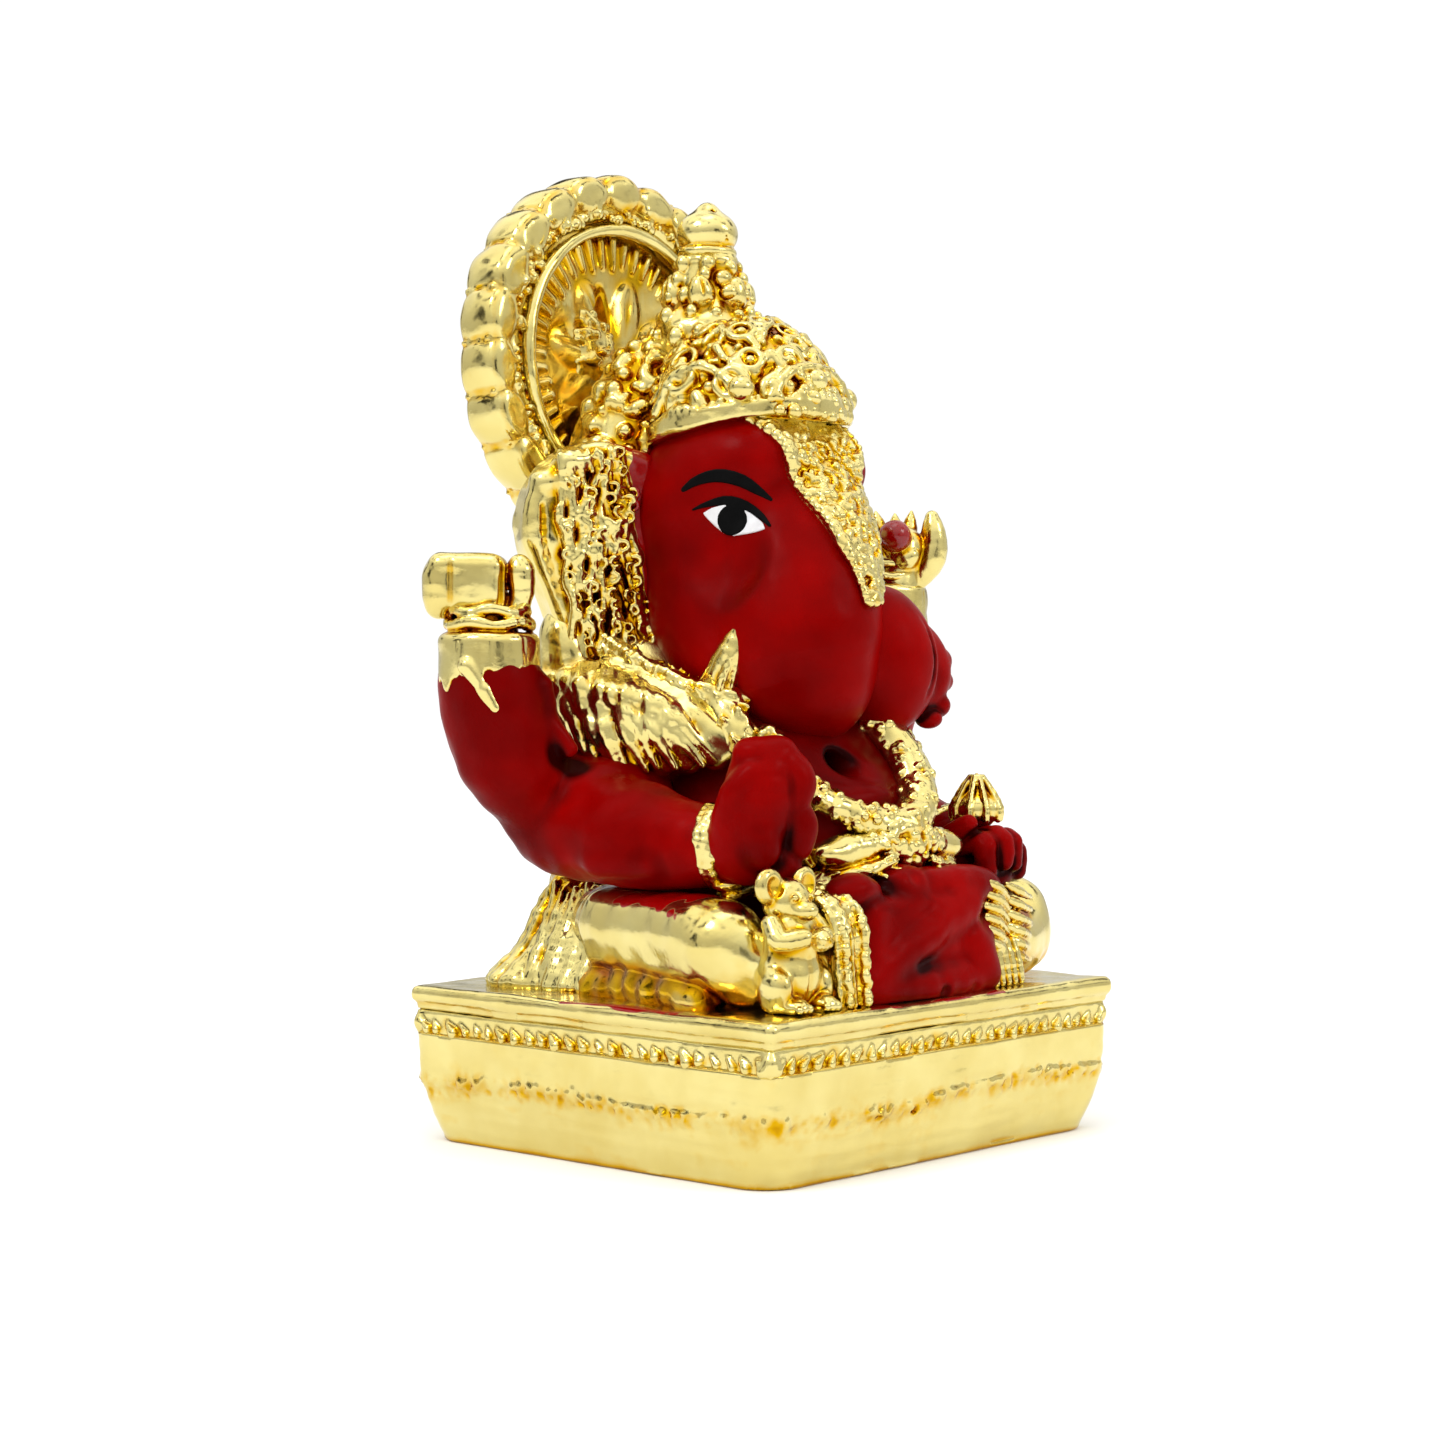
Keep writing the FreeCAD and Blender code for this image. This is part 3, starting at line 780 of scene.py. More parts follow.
def make_halo_disc(rng):
    """Combed rays round broad petals in front, and plain rays round a disc behind."""
    disc = Clay((-9.4, -1.4, -9.4), (9.4, 1.5, 9.4), MEDIUM)
    disc.add(egg((0, 0.95, 0), (9.6, 1.2, 9.6)))
    disc.keep(lambda x, y, z: np.abs(y - 0.75) - 0.65, 0.2)
    for angle, x, z in round_the_halo(46, 6.55):
        out = radial(angle)[:, 0] * rng.uniform(0.5, 0.9)
        middle = np.array([x, 0.1 + rng.uniform(-0.08, 0.05), z])
        disc.add(rod(middle - out, middle + out, 0.14, 0.26), 0.14)
    for angle, x, z in round_the_halo(8, 3.2, 0.35):
        disc.add(egg((x, 0.2, z), (2.1, 0.4, 1.15), radial(angle)), 0.25)
        disc.carve(rod((x * 0.6, -0.25, z * 0.6), (x * 1.6, -0.15, z * 1.6), 0.05, 0.07), 0.22)
    for _ in range(150):
        x, z = rng.uniform(-2.5, 6.5), rng.uniform(-7.0, -1.5)
        if math.hypot(x, z) < 7.2:
            disc.add(ball((x, 0.1, z), rng.uniform(0.2, 0.42)), 0.12)
    disc.carve(egg((-1.1, -0.1, 3.0), (0.5, 1.1, 1.6)), 0.3)
    disc.carve(egg((-1.6, -0.1, -3.4), (0.3, 0.6, 0.8)), 0.3)
    for angle, x, z in round_the_halo(24, 5.4):
        disc.add(egg((x, 1.3, z), (2.6, 0.3, 0.62), radial(angle)), 0.15)
    disc.add([ring((0, 1.35, 0), (0, 1, 0), 2.4, 0.32), egg((0, 1.3, 0), (1.5, 0.45, 1.5))], 0.15)
    # Painted shade: a little more over the whole disc
    gold("halo_disc", disc, skin=(0.03, 0.1, 35), place=on_halo, more_shade=0.18)


def make_halo_boss(rng):
    c = mid("halo_boss") - HALO_CENTRE
    boss = Clay(c - (3.6, 1.2, 3.6), c + (2.6, 1.0, 2.6), MEDIUM)
    boss.add(egg(c + (-0.8, 0.3, -0.6), (1.5, 0.75, 2.1)))
    for _ in range(44):
        turn = rng.uniform(0, 2 * math.pi)
        out = math.sqrt(rng.uniform())
        at = c + (-0.8 + 1.5 * out * math.cos(turn), 0.2 - 0.6 * (1 - out * out),
                  -0.6 + 2.2 * out * math.sin(turn))
        radii = (rng.uniform(0.18, 0.34), 0.3, rng.uniform(0.25, 0.6))
        boss.add(egg(at, radii, radial(rng.uniform(-0.6, 0.6))), 0.07)
    # Painted shade: a little more over the whole boss
    gold("halo_boss", boss, skin=(0.04, 0.03, 36), place=on_halo, more_shade=0.1)


# ---- crown ----------------------------------------------------------------------------------
CROWN = mid("crown_brow_band")
CROWN_RADIUS = (box("crown_dome")[1] - box("crown_dome")[0])[0] / 2
DOME_LOW, DOME_HIGH = box("crown_dome")
DOME_CENTRE = np.array([CROWN[0], CROWN[1], DOME_LOW[2] - 1.1])
DOME_TALL = DOME_HIGH[2] - DOME_CENTRE[2]


def dome_point(turn, rise, lift=0.0):
    """A point on the crown's dome and the way out from it; turn is 0 in front, rise 0 at the band."""
    a, b = math.radians(turn), math.radians(rise)
    unit = np.array([math.sin(a) * math.cos(b), -math.cos(a) * math.cos(b), math.sin(b)])
    radii = np.array([CROWN_RADIUS, CROWN_RADIUS, DOME_TALL])
    out = unit_of(unit / radii)
    return DOME_CENTRE + unit * radii + out * lift, out


def swirl(turn, rise, size):
    """A curled medallion with a bead in its eye."""
    at, out = dome_point(turn, rise, -0.12)
    return [ring(at, out, size, size * 0.34), ball(at - out * 0.08, size * 0.55),
            ball(at + out * 0.02, size * 0.36)]


def make_crown():
    rng = np.random.default_rng(41)
    make_dome(rng)
    make_brow_band(rng)
    for make in (make_gems, make_tier, make_buds, make_finial):
        make()


def make_dome(rng):
    """Grains all over, curled medallions in rows, short strokes, and arches at the sides and front."""
    dome = Clay(DOME_LOW - 0.6, DOME_HIGH + 0.4, FINE)
    dome.add(egg(DOME_CENTRE, (CROWN_RADIUS - 0.32, CROWN_RADIUS - 0.32, DOME_TALL - 0.35)))
    for _ in range(430):
        at, _out = dome_point(rng.uniform(0, 360), math.degrees(math.asin(rng.uniform(0.17, 0.97))),
                              rng.uniform(-0.42, -0.24))
        dome.add(ball(at, rng.uniform(0.2, 0.44)), 0.18)
    for rise, count, size, shift in ((21, 12, 0.7, 0), (38, 10, 0.76, 0.5), (54, 7, 0.68, 0),
                                     (68, 5, 0.55, 0.5)):
        for i in range(count):
            turn = 360 * (i + shift) / count + rng.uniform(-9, 9)
            dome.add(swirl(turn, rise + rng.uniform(-5, 5), size * rng.uniform(0.75, 1.15)), 0.1)
    for _ in range(40):
        turn, rise = rng.uniform(0, 360), rng.uniform(12, 66)
        a, _out = dome_point(turn, rise, -0.1)
        b, _out = dome_point(turn + rng.uniform(4, 10), rise - rng.uniform(2, 9), -0.1)
        dome.add(rod(a, b, 0.26, 0.22), 0.08)
    for side in SIDES:
        arch = [dome_point(side * t, r, 0.0)[0]
                for t, r in ((108, 9), (98, 25), (80, 31), (62, 25), (50, 10))]
        dome.add(tube([(*p, 0.3) for p in arch], 12), 0.12)
    brow = [dome_point(t, r, 0.15)[0] for t, r in ((-34, 14), (-22, 26), (0, 31), (22, 26), (34, 14))]
    dome.add(tube([(*p, 0.3) for p in brow], 12), 0.1)
    front = [dome_point(t, r, 0.05)[0] for t in np.linspace(-30, 30, 9) for r in (8, 14, 20, 26)]
    for at in front:
        dome.add(ball(at + rng.uniform(-0.15, 0.15, 3), rng.uniform(0.25, 0.42)), 0.08)
    dome.swell(cast_skin(0.06, 0.06, 42))
    dome.above(DOME_LOW[2] - 0.5)
    gold("crown_dome", dome)


def make_brow_band(rng):
    """The crown's rim, which rises towards the front, with a row of beads along its top."""
    band_low, band_high = box("crown_brow_band")
    band = Clay(band_low - (0.4, 0.4, 1.2), band_high + (0.4, 0.4, 0.8), MEDIUM)
    r = CROWN_RADIUS - 0.02

    def hoop(x, y, z):
        around_x, around_y = x - CROWN[0], y - CROWN[1]
        out = np.sqrt(around_x ** 2 + around_y ** 2)
        front = -around_y / np.maximum(out, 0.1)
        height = CROWN[2] + 0.05 + 0.95 * np.clip(front, -0.6, 1)
        q_out, q_up = np.abs(out - r + 0.5) - 0.55, np.abs(z - height) - 0.3
        return corner(q_out, q_up, 0.2)

    band.fill()
    band.keep(hoop)
    for a in turns(70):
        front = math.cos(a)
        at = np.array([CROWN[0] + (r - 0.1) * math.sin(a), CROWN[1] - (r - 0.1) * math.cos(a),
                       CROWN[2] + 0.6 + 0.95 * max(front, -0.6) + rng.uniform(-0.12, 0.12)])
        band.add(ball(at, rng.uniform(0.16, 0.36)), 0.12)
    gold("crown_brow_band", band, skin=(0.04, 0.1, 43))


def make_gems():
    gem_low, gem_high = box("crown_gems")
    places = [(gem_low[0] + 0.85, gem_low[1] + 2.05, gem_low[2] + 0.95),
              (gem_high[0] - 0.85, gem_low[1] + 2.4, gem_low[2] + 0.95),
              (0, gem_low[1] + 0.95, gem_high[2] - 0.9)]
    gems = Clay(gem_low, gem_high, FINE)
    for at in places:
        gems.add(ball(at, 0.7))
    gold("crown_gems", gems, skin=(0.02, 0.03, 44))


def make_tier():
    low, high = box("crown_tier")
    c = (low + high) / 2
    rng = np.random.default_rng(45)
    tier = Clay(low - 0.2, high + 0.1, FINE)
    tier.add([egg((c[0], c[1], low[2] + 0.7), (3.1, 3.1, 2.0)),
              rod((c[0], c[1], low[2] + 1), (c[0], c[1], high[2]), 2.2, 1.5)], 0.6)
    rows = ((0.5, 3.0, 15, 0.45), (1.7, 2.65, 13, 0.4), (2.8, 2.2, 11, 0.42), (3.7, 1.85, 9, 0.42),
            (4.4, 1.6, 8, 0.42))
    for lift, radius, count, size in rows:
        for i in range(count):
            a = 2 * math.pi * (i + rng.uniform(-0.25, 0.25)) / count
            at = (c[0] + radius * math.sin(a), c[1] + radius * math.cos(a),
                  low[2] + lift + rng.uniform(-0.15, 0.15))
            grow = size * rng.uniform(0.75, 1.2)
            tier.add(egg(at, (grow, grow, grow * rng.uniform(0.8, 1.3))), 0.09)
    tier.add(ring((c[0], c[1], high[2] - 0.22), (0, 0, 1), 1.35, 0.3), 0.1)
    gold("crown_tier", tier, skin=(0.045, 0.04, 46))


def make_buds():
    low, high = box("crown_buds")
    buds = Clay(low, high, FINE)
    middle = (low + high) / 2
    for i in range(6):
        a = math.radians(-90 + 60 * i)
        at = np.array([middle[0] + 1.85 * math.cos(a), middle[1] + 1.85 * math.sin(a), middle[2]])
        buds.add(egg(at, (0.85, 0.85, 0.95)))
        buds.add(egg(at + (0.2 * math.cos(a), 0.2 * math.sin(a), 0.5), grey(0.5)), 0.25)
        buds.carve(rod(at + (0.95 * math.cos(a + 0.5), 0.95 * math.sin(a + 0.5), -0.5),
                       at + (0.6 * math.cos(a + 0.3), 0.6 * math.sin(a + 0.3), 0.9), 0.07, 0.06), 0.12)
    gold("crown_buds", buds, skin=(0.03, 0.04, 47))


def make_finial():
    low, high = box("crown_finial")
    c = (low + high) / 2
    tip = Clay(low - (0.3, 0.3, 0), high + (0.3, 0.3, 0), FINE)
    tip.add(egg((c[0], c[1], low[2] + 1.3), (1.68, 1.68, 1.3)))
    tip.add(rod((c[0], c[1], low[2] + 1.5), (c[0], c[1], high[2] - 0.55), 1.15, 0.55), 0.5)
    tip.add(ring((c[0], c[1], low[2] + 0.26), (0, 0, 1), 1.32, 0.28), 0.08)
    for a in turns(3, 0.55):
        fold = [(c[0] + r * math.sin(a + s), c[1] + r * math.cos(a + s), low[2] + h, 0.07)
                for r, s, h in ((1.52, 0.0, 0.8), (1.5, 0.12, 1.4), (1.1, 0.3, 2.1), (0.4, 0.5, 2.65))]
        tip.carve(tube(fold, 7), 0.16)
    gold("crown_finial", tip, skin=(0.02, 0.05, 48))


def make_back_hair():
    low, high = box("back_hair")
    c = (low + high) / 2
    half = (high - low) / 2
    clay = Clay((low[0], 1.0, low[2]), (high[0], high[1], high[2]), MEDIUM)
    clay.add(egg((c[0], 6.7, c[2] + 0.1), (half[0] - 0.8, 3.9, half[2] - 0.3)))
    rng = np.random.default_rng(52)
    for side in SIDES:
        for i in range(15):
            back = 7.9 + 2.2 * (i + rng.uniform(-0.3, 0.3)) / 14
            wide = math.sqrt(max(1 - ((back - 6.3) / 4.6) ** 2, 0.02))
            lock = []
            for z, reach in ((39.4, 4.6), (37.2, 6.0), (34.8, 6.6), (31.8, 6.2), (29.2, 5.2)):
                sway = rng.uniform(-0.22, 0.22)
                lock.append((side * (reach * (0.35 + 0.65 * wide) + sway), back + rng.uniform(-0.2, 0.2), z,
                             rng.uniform(0.18, 0.34)))
            clay.add(tube(lock, 18), 0.08)
    for _ in range(420):
        turn, height = rng.uniform(-0.4, math.pi + 0.4), rng.uniform(-0.75, 0.95)
        wide = math.sqrt(1 - height * height)
        at = (c[0] + (half[0] - 0.7) * wide * math.cos(turn), 6.5 - 3.9 * wide * math.sin(turn),
              c[2] + 0.1 + (half[2] - 0.4) * height)
        clay.add(ball(at, rng.uniform(0.24, 0.5)), 0.16)
    # Painted shade: a little more in the hair's hollows
    gold("back_hair", clay, skin=(0.07, 0.1, 51), more_shade=0.1)


# ---- head -----------------------------------------------------------------------------------
HEAD_LOW, HEAD_HIGH = box("head")
TRUNK_LOW, TRUNK_HIGH = box("trunk")


def head_recipe():
    eggs = [egg((0, 2.0, 33.4), (6.3, 6.0, 6.2)), egg((0, 0.8, 28.6), (6.4, 5.4, 4.8))]
    cheeks = [egg((s * 3.2, -0.4, 26.6), (3.0, 4.1, 3.9)) for s in SIDES]
    brows = [egg((s * 2.6, 0.0, 35.9), (2.8, 4.1, 2.6)) for s in SIDES]
    fall = tube([(0.0, -0.4, 35.4, 3.2), (-0.2, -1.8, 32.6, 3.7), (-0.7, -3.0, 29.8, 4.05),
                 (-1.4, -3.5, 27.2, 4.2), (-1.5, -3.7, 25.6, 3.9), (-1.2, -3.9, 24.4, 3.2)], 9)
    return [(eggs, 1.6), (cheeks, 1.2), (brows, 1.4), (fall, 0.9)]


def curl_recipe():
    curl = egg((3.2, -5.0, 25.5), (3.3, 3.4, 4.15), axes_of(0, 0, -8))
    tip = tube([(5.2, -5.2, 26.6, 1.4), (6.0, -5.5, 25.8, 1.4), (6.6, -5.7, 24.8, 1.25),
                (6.1, -5.8, 23.6, 1.1)], 8)
    lumps = [egg((7.3, -5.8, 25.5), (0.95, 1.0, 0.85)), egg((7.5, -5.9, 24.4), (0.9, 0.9, 0.7)),
             egg((6.9, -6.1, 23.1), (0.95, 1.0, 0.8)), egg((6.1, -6.4, 22.4), (0.8, 0.8, 0.6))]
    return [(curl, 0.0), (tip, 0.6), (lumps, 0.18)]


HEAD, CURL = head_recipe(), curl_recipe()


def make_head():
    low = np.minimum(HEAD_LOW, TRUNK_LOW) - 0.3
    high = HEAD_HIGH + (0, 0, 1.6)
    head = mould(HEAD, low, high, MEDIUM)
    for side in SIDES:
        head.carve(egg((side * 6.9, -1.9, 31.0), (1.2, 2.6, 2.2), axes_of(side * -38)), 1.2)
    red("head", head, skin=(0.012, 0.07, 61))
    curl = mould(CURL, np.array([-1.0, TRUNK_LOW[1], TRUNK_LOW[2]]) - 0.4,
                 (TRUNK_HIGH[0] + 0.5, -1.0, 30.2), MEDIUM)
    groove = [(2.5, -8.2, 29.2, 0.18), (4.2, -8.0, 27.6, 0.2), (4.6, -8.1, 25.2, 0.2),
              (3.8, -8.2, 22.8, 0.16)]
    curl.carve(tube(groove, 8), 0.3)
    red("trunk", curl, skin=(0.012, 0.06, 62))


def front_of_face(x, z):
    """The y of the face's front surface at each (x, z), found by halving."""
    near, far = np.full(len(x), -11.0), np.full(len(x), 1.0)
    for _ in range(22):
        y = (near + far) / 2
        inside = measure(HEAD, x, y, z) < 0
        far, near = np.where(inside, y, far), np.where(inside, near, y)
    return (near + far) / 2


STRIP_Z = (28.3, 29.6, 32.4, 35.4, 37.6, 39.4)
STRIP_HALF = (0.5, 0.95, 1.8, 2.7, 3.4, 3.7)
STRIP_X = (-0.75, -0.55, -0.3, -0.2, -0.1, 0.0)


def make_ornament():
    """The jewelled strip down the forehead and trunk."""
    low, high = np.array([-4.2, -8.6, 27.3]), np.array([4.0, -0.6, 39.8])
    clay = Clay(low, high, FINE, 0.4)
    clay.shell(HEAD, 0.3)

    def outside_strip(x, y, z):
        half = np.interp(z, STRIP_Z, STRIP_HALF)
        middle = np.interp(z, STRIP_Z, STRIP_X)
        return (np.abs(x - middle) - half) * 0.9

    clay.keep(outside_strip, 0.15)
    clay.keep(lambda x, y, z: y + 0.6, 0.2)
    clay.keep(lambda x, y, z: np.maximum(z - 39.6, 28.7 - z), 0.2)
    rng = np.random.default_rng(71)
    loose, edging = 640, 34
    z = rng.uniform(28.5, 39.4, loose)
    across = rng.uniform(-1, 1, loose)
    edges = np.linspace(28.6, 39.2, edging)
    z = np.concatenate([z, edges, edges])
    across = np.concatenate([across, np.full(edging, 0.96), np.full(edging, -0.96)])
    x = np.interp(z, STRIP_Z, STRIP_X) + across * np.interp(z, STRIP_Z, STRIP_HALF)
    y = front_of_face(x, z)
    for i in range(len(z)):
        size = rng.uniform(0.14, 0.3) if i < loose else rng.uniform(0.22, 0.34)
        clay.add(ball((x[i], y[i] - 0.34, z[i]), size), 0.03)
    gold("trunk_ornament", clay, skin=(0.05, 0.05, 72))


# ---- eyes -----------------------------------------------------------------------------------
def flat_distance(outline, s, t):
    """Signed distance in a plane to a closed outline."""
    pts = np.asarray(outline, float)
    best = np.full(np.broadcast(s, t).shape, 1e9)
    inside = np.zeros(best.shape, bool)
    for a, b in zip(pts, np.roll(pts, -1, axis=0)):
        e = b - a
        ws, wt = s - a[0], t - a[1]
        f = np.clip((ws * e[0] + wt * e[1]) / (e @ e), 0, 1)
        best = np.minimum(best, (ws - f * e[0]) ** 2 + (wt - f * e[1]) ** 2)
        crosses = (a[1] > t) != (b[1] > t)
        side = (t - a[1]) * e[0] / (e[1] if abs(e[1]) > 1e-9 else 1e-9) + a[0] > s
        inside ^= crosses & side
    return np.where(inside, -1, 1) * np.sqrt(best)


def stroke_distance(stroke, s, t):
    """Signed distance in a plane to a brush stroke of (s, t, half width) points."""
    p = curve(stroke, 14)
    best = None
    for a, b in zip(p[:-1], p[1:]):
        e = b[:2] - a[:2]
        ws, wt = s - a[0], t - a[1]
        f = np.clip((ws * e[0] + wt * e[1]) / max(e @ e, 1e-9), 0, 1)
        d = np.sqrt((ws - f * e[0]) ** 2 + (wt - f * e[1]) ** 2) - (a[2] + (b[2] - a[2]) * f)
        best = d if best is None else np.minimum(best, d)
    return best


EYE_WHITE = [(-1.6, 0.42), (-1.1, 0.68), (-0.4, 0.86), (0.35, 0.78), (1.0, 0.36), (1.6, -0.22), (1.72, -0.58),
             (1.25, -0.7), (0.7, -0.76), (0.05, -0.8), (-0.45, -0.66), (-0.9, -0.3), (-1.3, 0.08)]
EYE_LID = [(-2.1, 0.62, 0.06), (-1.5, 0.82, 0.14), (-0.4, 1.02, 0.24), (0.6, 0.8, 0.24), (1.4, 0.24, 0.2),
           (1.95, -0.4, 0.08)]
EYE_BROW = [(-2.6, 1.72, 0.16), (-1.9, 2.12, 0.27), (-0.8, 2.3, 0.34), (0.4, 2.02, 0.33), (1.35, 1.5, 0.24),
            (2.0, 1.05, 0.1)]
PUPIL = 0.8


def eye_frame(side):
    """The eye's place and its three directions: towards the trunk, up, and out of the face."""
    low, high = box("eye_whites")
    out = unit_of((side * 0.76, -0.63, 0.14))
    along = unit_of(np.cross([0, 0, 1.0], out) * -side)
    up = np.cross(out, along)
    up *= np.sign(up[2])
    centre = np.array([side * (high[0] - 1.2), (low[1] + high[1]) / 2 - 0.1, (low[2] + high[2]) / 2 - 0.15])
    return centre, along, up, out


def painted_patch(side, shape, thickness, low, high):
    """A thin coat on the face inside a flat shape seen straight on."""
    centre, along, up, out = eye_frame(side)
    corners = [centre + along * s + up * t + out * w for s in (low[0], high[0]) for t in (low[1], high[1])
               for w in (-2.4, 1.6)]
    clay = Clay(np.min(corners, axis=0), np.max(corners, axis=0), EYE_STEP, 0.15)
    x, y, z = np.meshgrid(*clay.axes, indexing="ij", sparse=True)
    px, py, pz = x - centre[0], y - centre[1], z - centre[2]
    s = px * along[0] + py * along[1] + pz * along[2]
    t = px * up[0] + py * up[1] + pz * up[2]
    w = px * out[0] + py * out[1] + pz * out[2]
    face = measure(HEAD, x, y, z)
    coat = np.maximum(face - thickness, -(face + 0.25))
    clay.d = -blend_union(-coat, -shape(s, t), 0.08).astype(np.float32)
    clay.d = np.maximum(clay.d, (-w - 2.3).astype(np.float32))
    return clay


def eye_white(s, t):
    return flat_distance(EYE_WHITE, s, t)


def eye_pupil(s, t):
    """The pupil and the dark line of the upper lid."""
    disc = np.sqrt((s + 0.02) ** 2 + (t - 0.02) ** 2) - PUPIL
    return np.minimum(disc, stroke_distance(EYE_LID, s, t))


def eye_brow(s, t):
    return stroke_distance(EYE_BROW, s, t)


def make_eyes():
    for name, shape, thickness, low, high, slot, material in (
            ("eye_whites", eye_white, 0.05, (-2.1, -1.1), (2.1, 1.3), "white_enamel", WHITE),
            ("eye_pupils", eye_pupil, 0.085, (-2.5, -1.1), (2.3, 1.6), "black_enamel", BLACK),
            ("eyebrows", eye_brow, 0.06, (-3.0, 0.7), (2.5, 2.8), "black_enamel", BLACK)):
        blocks = [painted_patch(side, shape, thickness, low, high) for side in SIDES]
        cast(name, blocks, (name,), slot, material)


def make_tusks():
    blocks = []
    for side in SIDES:
        clay = Clay(np.array([side * 5.3 - 2.0, -4.4, 21.4]), np.array([side * 5.3 + 2.0, 0.8, 28.7]), FINE,
                    0.3)
        clay.add(tube(on_side(side, [(4.8, -0.6, 22.6, 1.1), (5.2, -1.5, 24.0, 1.18),
                                     (5.45, -2.5, 25.6, 0.98), (5.4, -3.1, 27.1, 0.55),
                                     (5.3, -3.3, 28.4, 0.12)]), 12))
        for shift in (-0.7, 0.0, 0.7):
            clay.add(tube(on_side(side, [(5.6 + shift * 0.8, -2.3 + abs(shift) * 0.4, 23.2, 0.22),
                                         (5.9 + shift * 0.6, -2.9 + abs(shift) * 0.3, 24.6, 0.24),
                                         (5.7 + shift * 0.3, -3.3, 26.2, 0.12)]), 7), 0.14)
        clay.swell(cast_skin(0.035, 0.05, 73))
        blocks.append(clay)
    gold("tusks", blocks)


# ---- ears -----------------------------------------------------------------------------------
EAR_OUTLINE = [(-1.2, 36.5), (1.4, 37.2), (3.6, 36.8), (5.4, 35.2), (6.2, 33.2), (6.0, 31.2), (5.0, 29.0),
               (4.2, 27.2), (2.9, 25.6), (1.0, 24.8), (-0.8, 25.4), (-1.3, 28.5), (-1.3, 32.5)]
PLAN_STEP = 0.1  # spacing of the ear's flat plan, from which its block is filled


def ear_axes(side):
    root = np.array([side * 6.4, box("right_ear")[0][1] + 0.57, 0])
    return root, np.array([side * 0.905, 0.425, 0]), np.array([-side * 0.425, 0.905, 0])


def ear_block(name, root, out, back):
    """A flat block with the ear's outline and rounded edges."""
    clay = Clay(*box(name), FINE, 0.6)
    x, y, z = np.meshgrid(*clay.axes, indexing="ij", sparse=True)
    px, py = x - root[0], y - root[1]
    s = px * out[0] + py * out[1]
    w = px * back[0] + py * back[1]
    outline = curve(EAR_OUTLINE + EAR_OUTLINE[:1], 40)[:-1]
    plan_s = np.arange(-2.4, 7.4, PLAN_STEP)
    plan_z = np.arange(23.8, 38.4, PLAN_STEP)
    plan = flat_distance(outline, plan_s[:, None], plan_z[None, :])
    i, k = np.broadcast_arrays(np.clip((s - plan_s[0]) / PLAN_STEP, 0, len(plan_s) - 1.001),
                               np.clip((z - plan_z[0]) / PLAN_STEP, 0, len(plan_z) - 1.001))
    i0, k0 = i.astype(int), k.astype(int)
    share_s, share_z = i - i0, k - k0
    edge = ((plan[i0, k0] * (1 - share_s) + plan[i0 + 1, k0] * share_s) * (1 - share_z)
            + (plan[i0, k0 + 1] * (1 - share_s) + plan[i0 + 1, k0 + 1] * share_s) * share_z)
    r = 0.75
    q_edge, q_w = edge + r, np.abs(w - 1.75) - (1.45 - r)
    clay.d = corner(q_edge, q_w, r).astype(np.float32)
    return clay


